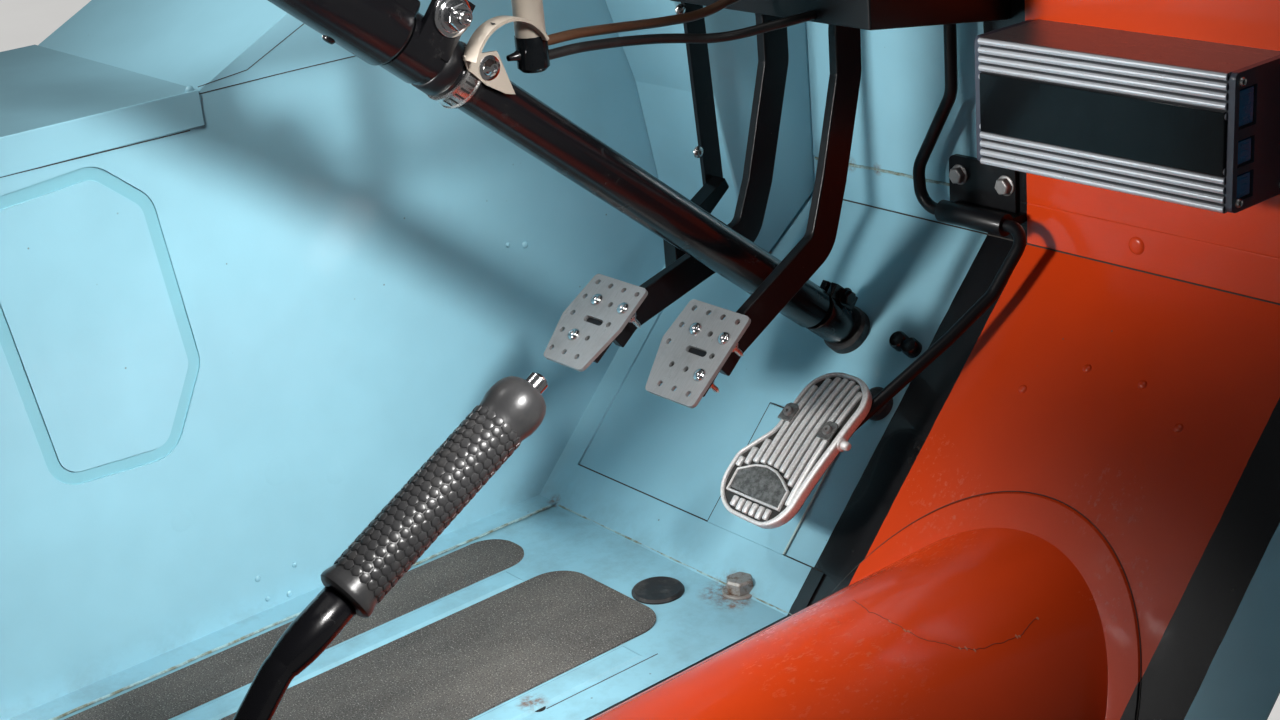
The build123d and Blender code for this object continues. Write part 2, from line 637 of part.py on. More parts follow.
# Clutch and brake: across from the column, (y, z) of the lever's centre line below the pivot, then the
# pad's place and tilt, its outline, and its rows of holes as (distance up, first x, last x)
PEDALS = {
    "brake": {
        "aside": 49.0,
        "line": [
            (107.5, 393.0), (107.0, 364.0), (88.0, 293.0), (74.0, 251.0), (-13.4, 204.5), (-28.3, 191.2),
        ],
        "pad": (45.5, -41.6, 206.1, 41.8),
        "outline": [(-31.0, 34.5), (28.0, 34.5), (24.5, -37.5), (-24.0, -37.5), (-36.0, 2.0)],
        "holes": [(28.5, -23.7, 19.5), (14.5, -26.0, -26.0), (14.5, 3.0, 3.0), (0.3, -28.5, -28.5),
                  (0.3, 15.5, 15.5), (-14.2, -14.0, 0.4), (-29.6, -14.0, 14.8)],
    },
    "clutch": {
        "aside": -47.0,
        "line": [
            (130.0, 391.0), (130.0, 356.0), (106.7, 271.7), (92.0, 236.0), (-25.5, 205.6), (-41.5, 193.5),
        ],
        "pad": (-49.5, -53.5, 209.5, 37.0),
        "outline": [(-28.0, 35.3), (28.5, 35.3), (28.5, 0.0), (20.0, -38.0), (-23.0, -38.0), (-33.0, -2.0)],
        "holes": [(29.0, -21.0, 22.2), (15.5, -23.5, -23.5), (15.5, 5.0, 5.0), (0.8, -24.0, -24.0),
                  (0.8, 16.0, 16.0), (-14.0, -22.5, -22.5), (-14.0, 6.0, 6.0), (-29.4, -20.5, 8.3)],
    },
}
HOLE_PITCH = 14.4
SLOT_LENGTH = 20.0
SLOT_WIDTH = 5.0

for pedal_name, pedal in PEDALS.items():
    pedal_x = COLUMN_X + pedal["aside"]
    pad_aside, pad_y, pad_z, pad_tilt = pedal["pad"]
    pad_face = sloped_plane(COLUMN_X + pad_aside, pad_y, pad_z, pad_tilt)
    with BuildPart() as lever:
        with BuildSketch(side_plane(pedal_x - LEVER_THICK / 2)):
            with BuildLine():
                FilletPolyline((PIVOT_Y, PIVOT_Z), *pedal["line"], radius=LEVER_BEND_R)
            trace(line_width=LEVER_WIDTH)
        extrude(amount=LEVER_THICK)
        with BuildSketch(side_plane(pedal_x - EYE_WIDTH / 2)):
            with Locations((PIVOT_Y, PIVOT_Z)):
                Circle(EYE_R)
        extrude(amount=EYE_WIDTH)
        with BuildSketch(pad_face.offset(-PAD_THICK)):
            Rectangle(FOOT_PLATE[0], FOOT_PLATE[1])
        extrude(amount=-FOOT_PLATE[2])
        with BuildSketch(side_plane(pedal_x - EYE_WIDTH / 2)):
            with Locations((PIVOT_Y, PIVOT_Z)):
                Circle(PIVOT_R + RUN_CLEARANCE)
        extrude(amount=EYE_WIDTH, mode=Mode.SUBTRACT)
    save(lever, f"{pedal_name}_lever")

    with BuildPart() as pad:
        with BuildSketch(pad_face) as pad_outline:
            with BuildLine():
                Polyline(*pedal["outline"], close=True)
            make_face()
            fillet(pad_outline.vertices(), radius=PAD_CORNER_R)
            for row_up, first_x, last_x in pedal["holes"]:
                for step in range(1 + round((last_x - first_x) / HOLE_PITCH)):
                    with Locations((first_x + step * HOLE_PITCH, row_up)):
                        Circle(PAD_HOLE_R, mode=Mode.SUBTRACT)
            SlotOverall(SLOT_LENGTH, SLOT_WIDTH, mode=Mode.SUBTRACT)
        extrude(amount=-PAD_THICK)
    save(pad, f"{pedal_name}_pad")

# Throttle: bracket on the bulkhead, bent rod and ribbed tread
plate_left, plate_right, plate_low, plate_high = THROTTLE_PLATE
with BuildPart() as throttle_bracket:
    with BuildSketch(cross_plane(TOE_Y)) as bracket_plate:
        with Locations((TREAD_X + (plate_left + plate_right) / 2, TOE_Z + (plate_low + plate_high) / 2)):
            Rectangle(plate_right - plate_left, plate_high - plate_low)
        fillet(bracket_plate.vertices(), radius=THROTTLE_PLATE_CORNER)
    extrude(amount=THROTTLE_PLATE_THICK)
    with BuildSketch(side_plane(TREAD_X + THROTTLE_TUBE[0])):
        with Locations(((THROTTLE_Y + TOE_Y) / 2, THROTTLE_Z)):
            Rectangle(TOE_Y - THROTTLE_Y, THROTTLE_WEB)
        with Locations((THROTTLE_Y, THROTTLE_Z)):
            Circle(THROTTLE_TUBE_R)
    extrude(amount=THROTTLE_TUBE[1] - THROTTLE_TUBE[0])
    with BuildSketch(side_plane(TREAD_X + THROTTLE_TUBE[0])):
        with Locations((THROTTLE_Y, THROTTLE_Z)):
            Circle(THROTTLE_ROD_R + RUN_CLEARANCE)
    extrude(amount=THROTTLE_TUBE[1] - THROTTLE_TUBE[0], mode=Mode.SUBTRACT)
save(throttle_bracket, "throttle_bracket")

TREAD_SPAN = (-64.0, 68.0)
TREAD_OUTLINE = [  # (x, distance up the tread, corner radius)
    (-27.0, 67.5, 24.0), (33.0, 67.5, 26.0), (31.0, 10.0, 80.0), (24.0, -62.0, 26.0), (-48.0, -60.0, 26.0),
    (-46.0, -18.0, 16.0), (-27.0, 8.0, 20.0),
]
TREAD_ROOM = 60.0  # half of the width and depth that the tread's outline is cut through
PLAQUE = [(-38.0, -46.0), (15.0, -46.0), (15.0, -31.0), (4.0, -22.0), (-27.0, -22.0), (-38.0, -29.0)]
RIBS = range(-7, 6)
tread_face = sloped_plane(TREAD_X, TREAD_CENTRE[0], TREAD_CENTRE[1], TREAD_TILT)
TREAD_AXIS = (
    TREAD_CENTRE[0] + TREAD_CURVE * sin(radians(TREAD_TILT)),
    TREAD_CENTRE[1] - TREAD_CURVE * cos(radians(TREAD_TILT)),
)


def tread_arc(outer, inner, low, high):
    """A ring sector in a side sketch, round the axis that the tread's curve turns about."""
    def spot(radius, along):
        angle = radians(TREAD_TILT) - along / TREAD_CURVE
        return (TREAD_AXIS[0] - radius * sin(angle), TREAD_AXIS[1] + radius * cos(angle))

    middle = (low + high) / 2
    with BuildLine(Plane.XY) as outline:
        ThreePointArc(spot(outer, low), spot(outer, middle), spot(outer, high))
        Line(spot(outer, high), spot(inner, high))
        ThreePointArc(spot(inner, high), spot(inner, middle), spot(inner, low))
        Line(spot(inner, low), spot(outer, low))
    return outline.edges()


with BuildPart() as rib_tool:
    with BuildSketch(side_plane(TREAD_X - TREAD_ROOM)):
        make_face(tread_arc(TREAD_CURVE + RIB_WIDTH, TREAD_CURVE - RIB_DEPTH, *TREAD_SPAN))
    extrude(amount=2 * TREAD_ROOM)
    with BuildSketch(tread_face.offset(-TREAD_ROOM)) as inner_outline:
        with BuildLine():
            FilletPolyline(
                *[(x, up) for x, up, _ in TREAD_OUTLINE], radius=[r for _, _, r in TREAD_OUTLINE], close=True
            )
        make_face()
        offset(amount=-TREAD_RIM)
        with BuildLine():
            Polyline(*PLAQUE, close=True)
        make_face(mode=Mode.SUBTRACT)
        for rib in RIBS:
            with Locations((rib * RIB_PITCH, 0)):
                Rectangle(RIB_WIDTH, 4 * TREAD_ROOM, mode=Mode.SUBTRACT)
    extrude(amount=2 * TREAD_ROOM, mode=Mode.INTERSECT)

with BuildPart() as throttle_pad:
    with BuildSketch(side_plane(TREAD_X - TREAD_ROOM)):
        tread_low, tread_high = TREAD_SPAN[0] - TREAD_RIM, TREAD_SPAN[1] + TREAD_RIM
        make_face(tread_arc(TREAD_CURVE, TREAD_CURVE - TREAD_THICK, tread_low, tread_high))
    extrude(amount=2 * TREAD_ROOM)
    with BuildSketch(tread_face.offset(-TREAD_ROOM)):
        with BuildLine():
            FilletPolyline(
                *[(x, up) for x, up, _ in TREAD_OUTLINE], radius=[r for _, _, r in TREAD_OUTLINE], close=True
            )
        make_face()
    extrude(amount=2 * TREAD_ROOM, mode=Mode.INTERSECT)
    add(rib_tool.part, mode=Mode.SUBTRACT)
save(throttle_pad, "throttle_pad")

# Centre line of the rod: across from the tread's middle, forward, up
ROD_LAP = 32.0
ROD_TOP = PEDAL_BOX_FOOT + ROD_LAP
ROD_JOG = (29.0, 89.0)  # heights over the bracket's tube where the rod jogs aside
ROD_JOG_FOOT = THROTTLE_Z + ROD_JOG[0]
ROD_JOG_TOP = THROTTLE_Z + ROD_JOG[1]
ROD_LINE = [
    (-1.0, THROTTLE_Y, ROD_TOP), (-1.0, THROTTLE_Y, ROD_JOG_TOP), (-35.0, THROTTLE_Y, ROD_JOG_FOOT),
    (-33.0, THROTTLE_Y, THROTTLE_Z), (67.0, THROTTLE_Y, THROTTLE_Z), (59.0, 166.0, 202.0),
    (47.0, 132.0, 176.0), (15.0, 48.0, 118.0),
]
ROD_BENDS = [24.0, 24.0, 16.0, 14.0, 20.0, 40.0]
ROD_SHOE = (22.0, 4.0, 6.0, 44.0)  # width, thickness, low and high ends of the shoe under the tread
with BuildPart() as throttle_rod:
    with BuildLine() as rod_path:
        FilletPolyline(*[place(TREAD_X + across, y, z) for across, y, z in ROD_LINE], radius=ROD_BENDS)
    with BuildSketch(Plane(origin=place(TREAD_X + ROD_LINE[0][0], *ROD_LINE[0][1:]), z_dir=(0, 0, -1))):
        Circle(THROTTLE_ROD_R)
    sweep(path=rod_path.wires()[0])
    shoe_width, shoe_thick, shoe_low, shoe_high = ROD_SHOE
    with BuildSketch(side_plane(TREAD_X)):
        shoe_outer = TREAD_CURVE - TREAD_THICK
        make_face(tread_arc(shoe_outer, shoe_outer - shoe_thick, shoe_low, shoe_high))
    extrude(amount=shoe_width)
save(throttle_rod, "throttle_rod")

STOP_ASIDE = -5.0
STOP_UP_TOE = 164.0
STOP_R = 12.0
STOP_HEIGHT = 9.0
STOP_BEVEL = 2.0
with BuildPart() as throttle_stop:
    with BuildSketch(toe_plane(TREAD_X + STOP_ASIDE, STOP_UP_TOE)):
        Circle(STOP_R)
    extrude(amount=STOP_HEIGHT)
    chamfer(throttle_stop.edges().group_by(Axis.Y)[0], length=STOP_BEVEL)
save(throttle_stop, "throttle_stop")

# Strap beside the clutch, with the small switch that it carries
STRAP_INSIDE = 22.0
STRAP_LAP = 36.0
STRAP_TOP = (PEDAL_BOX_REAR + STRAP_INSIDE, PEDAL_BOX_FOOT + STRAP_LAP)
STRAP_KNEE_RUN = (1.0, -35.0)  # forward and up from the strap's top to its knee
STRAP_FOOT_RUN = (9.0, -155.0)  # and from its knee to its foot
STRAP_KNEE = (STRAP_TOP[0] + STRAP_KNEE_RUN[0], STRAP_TOP[1] + STRAP_KNEE_RUN[1])
STRAP_FOOT = (STRAP_KNEE[0] + STRAP_FOOT_RUN[0], STRAP_KNEE[1] + STRAP_FOOT_RUN[1])
STRAP_WIDTH = 18.0
STRAP_THICK = 4.0
with BuildPart() as strap:
    with BuildSketch(side_plane(PEDAL_BOX_LEFT)):
        with BuildLine():
            Polyline(STRAP_TOP, STRAP_KNEE, STRAP_FOOT)
        trace(line_width=STRAP_WIDTH)
    extrude(amount=-STRAP_THICK)
save(strap, "strap")

SWITCH_WIDTH = 14.0
SWITCH_OUTLINE = [  # (forward, up) from the strap's foot
    (-56.0, -54.0), (-32.0, -54.0), (-32.0, -18.0), (2.0, 8.0), (-2.0, 16.0), (-56.0, -14.0),
]
with BuildPart() as switch_box:
    with BuildSketch(side_plane(PEDAL_BOX_LEFT)):
        with BuildLine():
            Polyline(*[(STRAP_FOOT[0] + y, STRAP_FOOT[1] + z) for y, z in SWITCH_OUTLINE], close=True)
        make_face()
    extrude(amount=SWITCH_WIDTH)
save(switch_box, "switch_box")

# Amplifier: finned case with a blank band, two end plates
with BuildPart() as amp_case:
    with BuildSketch(side_plane(AMP_LEFT)):
        with BuildLine():
            Polyline(
                (AMP_FRONT_Y + FIN_R, AMP_FOOT_Z), (TOE_Y, AMP_FOOT_Z), (TOE_Y, AMP_FOOT_Z + AMP_HEIGHT),
                (AMP_FRONT_Y + FIN_R, AMP_FOOT_Z + AMP_HEIGHT), close=True,
            )
        make_face()
        for fin in range(FIN_COUNT):
            low_fin = AMP_FOOT_Z + FIN_R + fin * FIN_PITCH
            high_fin = AMP_FOOT_Z + AMP_HEIGHT - FIN_R - fin * FIN_PITCH
            with Locations((AMP_FRONT_Y + FIN_R, low_fin), (AMP_FRONT_Y + FIN_R, high_fin)):
                Circle(FIN_R)
    extrude(amount=AMP_RIGHT - AMP_LEFT)
save(amp_case, "amp_case")

for end_name, end_x in (("amp_end_left", AMP_LEFT - AMP_END), ("amp_end_right", AMP_RIGHT)):
    with BuildPart() as amp_end:
        with BuildSketch(side_plane(end_x)) as end_outline:
            with Locations(((AMP_FRONT_Y + FIN_R + TOE_Y) / 2, AMP_FOOT_Z + AMP_HEIGHT / 2)):
                Rectangle(TOE_Y - AMP_FRONT_Y - FIN_R, AMP_HEIGHT)
            fillet(end_outline.vertices(), radius=AMP_END_CORNER)
        extrude(amount=AMP_END)
        if end_name == "amp_end_right":
            with BuildSketch(side_plane(end_x + AMP_END)):
                for socket_back, socket_up, socket_width, socket_height in AMP_SOCKETS:
                    with Locations((AMP_FRONT_Y + socket_back, AMP_FOOT_Z + socket_up)):
                        Rectangle(socket_width, socket_height)
            extrude(amount=-AMP_SOCKET_DEPTH, mode=Mode.SUBTRACT)
    save(amp_end, end_name)

# Handbrake on the tunnel
pivot_y, pivot_z = HANDBRAKE_PIVOT
CHEEK = [(-26.0, -62.0), (34.0, -62.0), (10.0, 8.0), (-10.0, 8.0)]  # (forward, up) from the pin
CHEEK_FLOOR = 30.0
with BuildPart() as handbrake_bracket:
    with BuildSketch(side_plane(HANDBRAKE_X - CHEEK_GAP / 2 - CHEEK_THICK)):
        with BuildLine():
            Polyline(*[(pivot_y + y, pivot_z + z) for y, z in CHEEK], close=True)
        make_face()
    extrude(amount=CHEEK_GAP + 2 * CHEEK_THICK)
    with BuildSketch(floor_plane(pivot_z - CHEEK_FLOOR)):
        with Locations((HANDBRAKE_X, pivot_y)):
            Rectangle(CHEEK_GAP, BIG)
    extrude(amount=BIG, mode=Mode.SUBTRACT)
    with BuildSketch(cross_plane(0)):
        with Locations((0, -TUNNEL_DROP)):
            Circle(TUNNEL_R)
    extrude(amount=FLOOR_LENGTH, mode=Mode.SUBTRACT)
    with BuildSketch(side_plane(HANDBRAKE_X - HANDBRAKE_PIN_LENGTH / 2)):
        with Locations(HANDBRAKE_PIVOT):
            Circle(HANDBRAKE_PIN_R)
    extrude(amount=HANDBRAKE_PIN_LENGTH, mode=Mode.SUBTRACT)
save(handbrake_bracket, "handbrake_bracket")

with BuildPart() as handbrake_pin:
    with BuildSketch(side_plane(HANDBRAKE_X - HANDBRAKE_PIN_LENGTH / 2)):
        with Locations(HANDBRAKE_PIVOT):
            Circle(HANDBRAKE_PIN_R)
    extrude(amount=HANDBRAKE_PIN_LENGTH)
save(handbrake_pin, "handbrake_pin")

grip_dir = (cos(radians(GRIP_ANGLE)), sin(radians(GRIP_ANGLE)))


def grip_plane(along):
    """A plane square across the handbrake's grip, at a distance up its axis from its foot."""
    y = GRIP_FOOT[0] + along * grip_dir[0]
    z = GRIP_FOOT[1] + along * grip_dir[1]
    return Plane(origin=place(HANDBRAKE_X, y, z), x_dir=(1, 0, 0), z_dir=(0, grip_dir[0], grip_dir[1]))


ROD_KNEE = (2.0, 50.0)
ROD_NECK = 45.0
ROD_KNEE_BENDS = [24.0, 18.0]
with BuildPart() as handbrake_lever:
    with BuildLine() as lever_path:
        neck = (GRIP_FOOT[0] - ROD_NECK * grip_dir[0], GRIP_FOOT[1] - ROD_NECK * grip_dir[1])
        FilletPolyline(
            place(HANDBRAKE_X, pivot_y, pivot_z),
            place(HANDBRAKE_X, pivot_y + ROD_KNEE[0], pivot_z + ROD_KNEE[1]),
            place(HANDBRAKE_X, *neck), place(HANDBRAKE_X, *GRIP_FOOT), radius=ROD_KNEE_BENDS,
        )
    with BuildSketch(Plane(origin=place(HANDBRAKE_X, pivot_y, pivot_z), z_dir=(0, *ROD_KNEE))):
        Circle(HANDBRAKE_ROD_R)
    sweep(path=lever_path.wires()[0])
    with BuildSketch(side_plane(HANDBRAKE_X - HUB_WIDTH / 2)):
        with Locations(HANDBRAKE_PIVOT):
            Circle(HUB_R)
    extrude(amount=HUB_WIDTH)
    with BuildSketch(side_plane(HANDBRAKE_X - HUB_WIDTH / 2)):
        with Locations(HANDBRAKE_PIVOT):
            Circle(HANDBRAKE_PIN_R + RUN_CLEARANCE)
    extrude(amount=HUB_WIDTH, mode=Mode.SUBTRACT)
save(handbrake_lever, "handbrake_lever")

# Grip, turned with a collar at each end: (distance up its axis, radius)
GRIP_PROFILE = [
    (0.0, 0.0), (0.0, GRIP_R - 2.0), (1.5, GRIP_R), (5.0, GRIP_R), (9.0, GRIP_WAIST_R),
    (GRIP_LENGTH - 22.0, GRIP_WAIST_R), (GRIP_LENGTH - 17.0, GRIP_R), (GRIP_LENGTH - 9.0, GRIP_R),
    (GRIP_LENGTH - 3.0, GRIP_R - 3.0), (GRIP_LENGTH, GRIP_R - 7.0), (GRIP_LENGTH, 0.0),
]
with BuildPart() as handbrake_grip:
    with BuildSketch(side_plane(HANDBRAKE_X)):
        with BuildLine():
            Polyline(
                *[
                    (
                        GRIP_FOOT[0] + along * grip_dir[0] - radius * grip_dir[1],
                        GRIP_FOOT[1] + along * grip_dir[1] + radius * grip_dir[0],
                    )
                    for along, radius in GRIP_PROFILE
                ],
                close=True,
            )
        make_face()
    revolve(axis=Axis(place(HANDBRAKE_X, *GRIP_FOOT), (0, *grip_dir)))
save(handbrake_grip, "handbrake_grip")

BUTTON_R = 5.5
BUTTON_LENGTH = 8.0
BUTTON_BEVEL = 1.5
with BuildPart() as handbrake_button:
    with BuildSketch(grip_plane(GRIP_LENGTH)):
        Circle(BUTTON_R)
    extrude(amount=BUTTON_LENGTH)
    chamfer(handbrake_button.edges().group_by(Axis.Y)[-1], length=BUTTON_BEVEL)
save(handbrake_button, "handbrake_button")

# Two wires from the stalk to the pedal box: across from the column, forward, up
WIRE_R = 3.2
WIRE_DROPS = (6.0, 15.0)  # below the stalk's foot, brown wire first
WIRE_RISES = (20.0, 5.0)  # over the pedal box's lower edge
WIRE_FROM = STALK_Y + STALK_CAP_R
BROWN_FROM_Z, BLACK_FROM_Z = [STALK_FOOT - drop for drop in WIRE_DROPS]
BROWN_TO_Z, BLACK_TO_Z = [PEDAL_BOX_FOOT + rise for rise in WIRE_RISES]
WIRES = {
    "wire_brown": [
        (18.0, WIRE_FROM, BROWN_FROM_Z), (18.0, -96.0, BROWN_FROM_Z), (10.0, -60.0, 424.0),
        (6.0, -20.0, 419.0), (4.0, 20.0, 416.0), (8.0, 52.0, BROWN_TO_Z), (8.0, PEDAL_BOX_REAR, BROWN_TO_Z),
    ],
    "wire_black": [
        (18.0, WIRE_FROM, BLACK_FROM_Z), (18.0, -96.0, BLACK_FROM_Z), (16.0, -60.0, 416.0),
        (14.0, -20.0, 410.0), (22.0, 20.0, 402.0), (48.0, 54.0, BLACK_TO_Z),
        (48.0, PEDAL_BOX_REAR, BLACK_TO_Z),
    ],
}
for wire_name, route in WIRES.items():
    points = [Vector(*place(COLUMN_X + across, y, z)) for across, y, z in route]
    radii = []
    for before, here, after in zip(points, points[1:], points[2:]):
        turn = radians((here - before).get_angle(after - here))
        shorter = min((here - before).length, (after - here).length)
        radii.append(0.45 * shorter / tan(turn / 2))
    print(wire_name, "arc radii", [round(radius) for radius in radii])
    with BuildPart() as wire:
        with BuildLine() as wire_path:
            FilletPolyline(*points, radius=radii)
        with BuildSketch(Plane(origin=points[0], z_dir=points[1] - points[0])):
            Circle(WIRE_R)
        sweep(path=wire_path.wires()[0])
    save(wire, wire_name)
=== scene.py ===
"""Looks of a small open car's driver's footwell: paint, pads, grips, fasteners, seams and studio."""

import json
import math
import random

import bmesh
import bpy
from mathutils import Matrix, Vector


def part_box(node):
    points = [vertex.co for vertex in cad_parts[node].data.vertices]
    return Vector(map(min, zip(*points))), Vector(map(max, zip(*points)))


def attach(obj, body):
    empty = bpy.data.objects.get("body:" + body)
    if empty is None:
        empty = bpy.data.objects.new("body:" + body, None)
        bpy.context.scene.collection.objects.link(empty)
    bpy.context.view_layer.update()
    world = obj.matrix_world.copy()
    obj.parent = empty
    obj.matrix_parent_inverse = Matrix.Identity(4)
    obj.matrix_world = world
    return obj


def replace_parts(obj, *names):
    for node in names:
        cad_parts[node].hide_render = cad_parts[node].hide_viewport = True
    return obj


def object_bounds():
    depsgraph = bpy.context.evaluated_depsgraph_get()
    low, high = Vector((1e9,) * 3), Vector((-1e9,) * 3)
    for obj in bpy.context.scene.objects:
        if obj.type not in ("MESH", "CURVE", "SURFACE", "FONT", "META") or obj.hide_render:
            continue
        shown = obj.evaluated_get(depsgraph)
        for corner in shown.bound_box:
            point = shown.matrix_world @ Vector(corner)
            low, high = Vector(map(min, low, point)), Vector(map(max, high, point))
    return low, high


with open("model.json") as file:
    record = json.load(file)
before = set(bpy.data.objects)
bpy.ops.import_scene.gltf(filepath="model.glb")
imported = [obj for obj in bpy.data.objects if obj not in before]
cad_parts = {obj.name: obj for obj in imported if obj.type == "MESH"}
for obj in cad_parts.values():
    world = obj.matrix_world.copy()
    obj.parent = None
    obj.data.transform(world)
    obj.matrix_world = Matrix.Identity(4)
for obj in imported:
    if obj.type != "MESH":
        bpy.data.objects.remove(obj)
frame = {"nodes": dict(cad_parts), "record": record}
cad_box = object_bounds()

MM = 0.001
RIGHT = (1, 0, 0)
UP = (0, 0, 1)
REARWARD = (0, -1, 0)

# Sizes of the solids that the finishes follow, in millimetres
SHEET = 2.0
WALL_X = -447.0
BULKHEAD_Y = 217.5
TOE_ANGLE = math.radians(45.8)
TOE_OUT = (0, -math.sin(TOE_ANGLE), math.cos(TOE_ANGLE))
TOE_ALONG = (0, math.cos(TOE_ANGLE), math.sin(TOE_ANGLE))
FLOOR_LAP = 36.0
TUNNEL_R = 122.0
TUNNEL_DROP = 38.0
COLLAR_WIDTH = 18.0
COLUMN_RISE = math.radians(39.5)
COLUMN_UP_TOE = 210.6
TREAD_ASIDE = 65.0
TREAD_CENTRE = (24.7, 117.9)
TREAD_TILT = math.radians(39.0)
TREAD_CURVE = 330.0

# The layout's origin: the bend between floor and toe board, under the tunnel's middle
ORIGIN = Vector((
    (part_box("tunnel")[0].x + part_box("tunnel")[1].x) / 2,
    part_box("toe_board")[0].y,
    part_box("floor_sheet_right")[1].z,
))


def layout_box(node):
    """The node's lowest and highest corners, in millimetres of the layout."""
    return [(corner - ORIGIN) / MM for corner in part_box(node)]


COLUMN_X = sum(corner.x for corner in layout_box("column_tube")) / 2


def at(x, y, z):
    """A point of the layout, given in millimetres, in the row frame."""
    return ORIGIN + Vector((x, y, z)) * MM


def pose(point, out, up):
    """A frame at a point of the layout whose local Z points out and whose local Y leans towards up."""
    z_axis = Vector(out).normalized()
    x_axis = Vector(up).cross(z_axis).normalized()
    y_axis = z_axis.cross(x_axis)
    turn = Matrix((x_axis, y_axis, z_axis)).transposed().to_4x4()
    return Matrix.Translation(at(*point)) @ turn @ Matrix.Scale(MM, 4)


def toe_point(x, up, lift=0.0):
    """A point of the layout over the toe board, by its distance up the slope."""
    return (x, up * TOE_ALONG[1] + lift * TOE_OUT[1], up * TOE_ALONG[2] + lift * TOE_OUT[2])


def on_toe(x, up):
    """A frame on the toe board's face."""
    return pose(toe_point(x, up), TOE_OUT, TOE_ALONG)


def on_floor(x, y, lift=0.0):
    """A frame on the floor sheet."""
    return pose((x, y, lift), UP, (0, 1, 0))


def on_wall(y, z):
    """A frame on the side wall's inner face."""
    return pose((WALL_X, y, z), RIGHT, UP)


def on_bulkhead(x, z, lift=0.0):
    """A frame on the upright face above the toe board."""
    return pose((x, BULKHEAD_Y - lift, z), REARWARD, UP)


def on_column(along):
    """A frame whose Z runs up the steering column and whose Y leans up from it."""
    axis = (0, -math.cos(COLUMN_RISE), math.sin(COLUMN_RISE))
    _, foot_y, foot_z = toe_point(COLUMN_X, COLUMN_UP_TOE)
    rise = (0, math.sin(COLUMN_RISE), math.cos(COLUMN_RISE))
    return pose((COLUMN_X, foot_y + along * axis[1], foot_z + along * axis[2]), axis, rise)


def on_pad(aside, y, z, tilt):
    """A frame on the face of a pedal's pad."""
    angle = math.radians(tilt)
    sine, cosine = math.sin(angle), math.cos(angle)
    return pose((COLUMN_X + aside, y, z), (0, -sine, cosine), (0, cosine, sine))


def on_tread(x, along, lift=0.0):
    """A frame on the curved face of the throttle's tread."""
    angle = TREAD_TILT - along / TREAD_CURVE
    out = (0, -math.sin(angle), math.cos(angle))
    y = TREAD_CENTRE[0] + TREAD_CURVE * math.sin(TREAD_TILT) + (TREAD_CURVE + lift) * out[1]
    z = TREAD_CENTRE[1] - TREAD_CURVE * math.cos(TREAD_TILT) + (TREAD_CURVE + lift) * out[2]
    return pose((COLUMN_X + TREAD_ASIDE + x, y, z), out, (0, math.cos(angle), math.sin(angle)))


# Materials


class Surface:
    """A procedural material: a shader with its uniform values, and short calls for the nodes before it."""

    def __init__(self, name, roughness=0.5, metallic=0.0, coat=0.0, coat_roughness=0.1, specular=0.5):
        self.material = bpy.data.materials.new(name)
        self.material.use_nodes = True
        self.tree = self.material.node_tree
        self.shader = self.tree.nodes["Principled BSDF"]
        self.set(self.shader, {
            "Roughness": roughness,
            "Metallic": metallic,
            "Coat Weight": coat,
            "Coat Roughness": coat_roughness,
            "Specular IOR Level": specular,
        })
        self.place = self.add("ShaderNodeTexCoord").outputs["Object"]

    def set(self, node, values):
        for key, value in values.items():
            if isinstance(value, bpy.types.NodeSocket):
                self.tree.links.new(value, node.inputs[key])
            else:
                node.inputs[key].default_value = value

    def add(self, kind, values=None, **settings):
        node = self.tree.nodes.new(kind)
        for key, value in settings.items():
            setattr(node, key, value)
        self.set(node, values or {})
        return node

    def noise(self, scale, detail=4.0, roughness=0.55, where=None):
        values = {"Vector": where or self.place, "Scale": scale, "Detail": detail, "Roughness": roughness}
        return self.add("ShaderNodeTexNoise", values).outputs["Fac"]

    def cells(self, scale):
        return self.add("ShaderNodeTexVoronoi", {"Vector": self.place, "Scale": scale}).outputs["Distance"]

    def math(self, operation, first, second=0.0):
        return self.add("ShaderNodeMath", {0: first, 1: second}, operation=operation).outputs[0]

    def span(self, value, low, high, to_low=0.0, to_high=1.0):
        """The value mapped from one range to another, and held inside it."""
        values = {"Value": value, "From Min": low, "From Max": high, "To Min": to_low, "To Max": to_high}
        return self.add("ShaderNodeMapRange", values).outputs["Result"]

    def mix(self, share, first, second, blend="MIX"):
        node = self.add("ShaderNodeMix", data_type="RGBA", blend_type=blend)
        self.set(node, {0: share, 6: first, 7: second})
        return node.outputs[2]

    def axes(self, where=None):
        return self.add("ShaderNodeSeparateXYZ", {0: where or self.place}).outputs

    def stretched(self, x, y, z):
        """The place, stretched along the axes, for grain and brush marks."""
        return self.add("ShaderNodeMapping", {"Vector": self.place, "Scale": (x, y, z)}).outputs["Vector"]

    def near(self, point, radius):
        """1 at a point of the layout, falling to 0 at a radius in millimetres."""
        ends = {0: self.place, 1: at(*point)}
        far = self.add("ShaderNodeVectorMath", ends, operation="DISTANCE").outputs["Value"]
        return self.span(far, radius * MM, 0.0)

    def near_any(self, spots):
        """The same for the nearest of several spots, given as (x, y, z, radius)."""
        most = 0.0
        for *point, radius in spots:
            most = self.math("MAXIMUM", most, self.near(point, radius))
        return most

    def bump(self, height, distance, strength, under=None):
        values = {"Height": height, "Distance": distance * MM, "Strength": strength}
        if under is not None:
            values["Normal"] = under
        return self.add("ShaderNodeBump", values).outputs["Normal"]

    def colour(self, value):
        self.set(self.shader, {"Base Color": value})

    def rough(self, value):
        self.set(self.shader, {"Roughness": value})

    def normal(self, value):
        self.set(self.shader, {"Normal": value})


def dimmed(tone, share):
    """The tone at a share of its brightness."""
    return tuple(share * c for c in tone[:3]) + (1,)


BLUE = (0.265, 0.525, 0.635, 1)
ORANGE = (0.60, 0.048, 0.005, 1)
STRIPE_BLACK = (0.006, 0.006, 0.007, 1)
RUST = (0.19, 0.075, 0.028, 1)
DIRT = (0.11, 0.10, 0.085, 1)
SCUFFED = (0.50, 0.30, 0.20, 1)

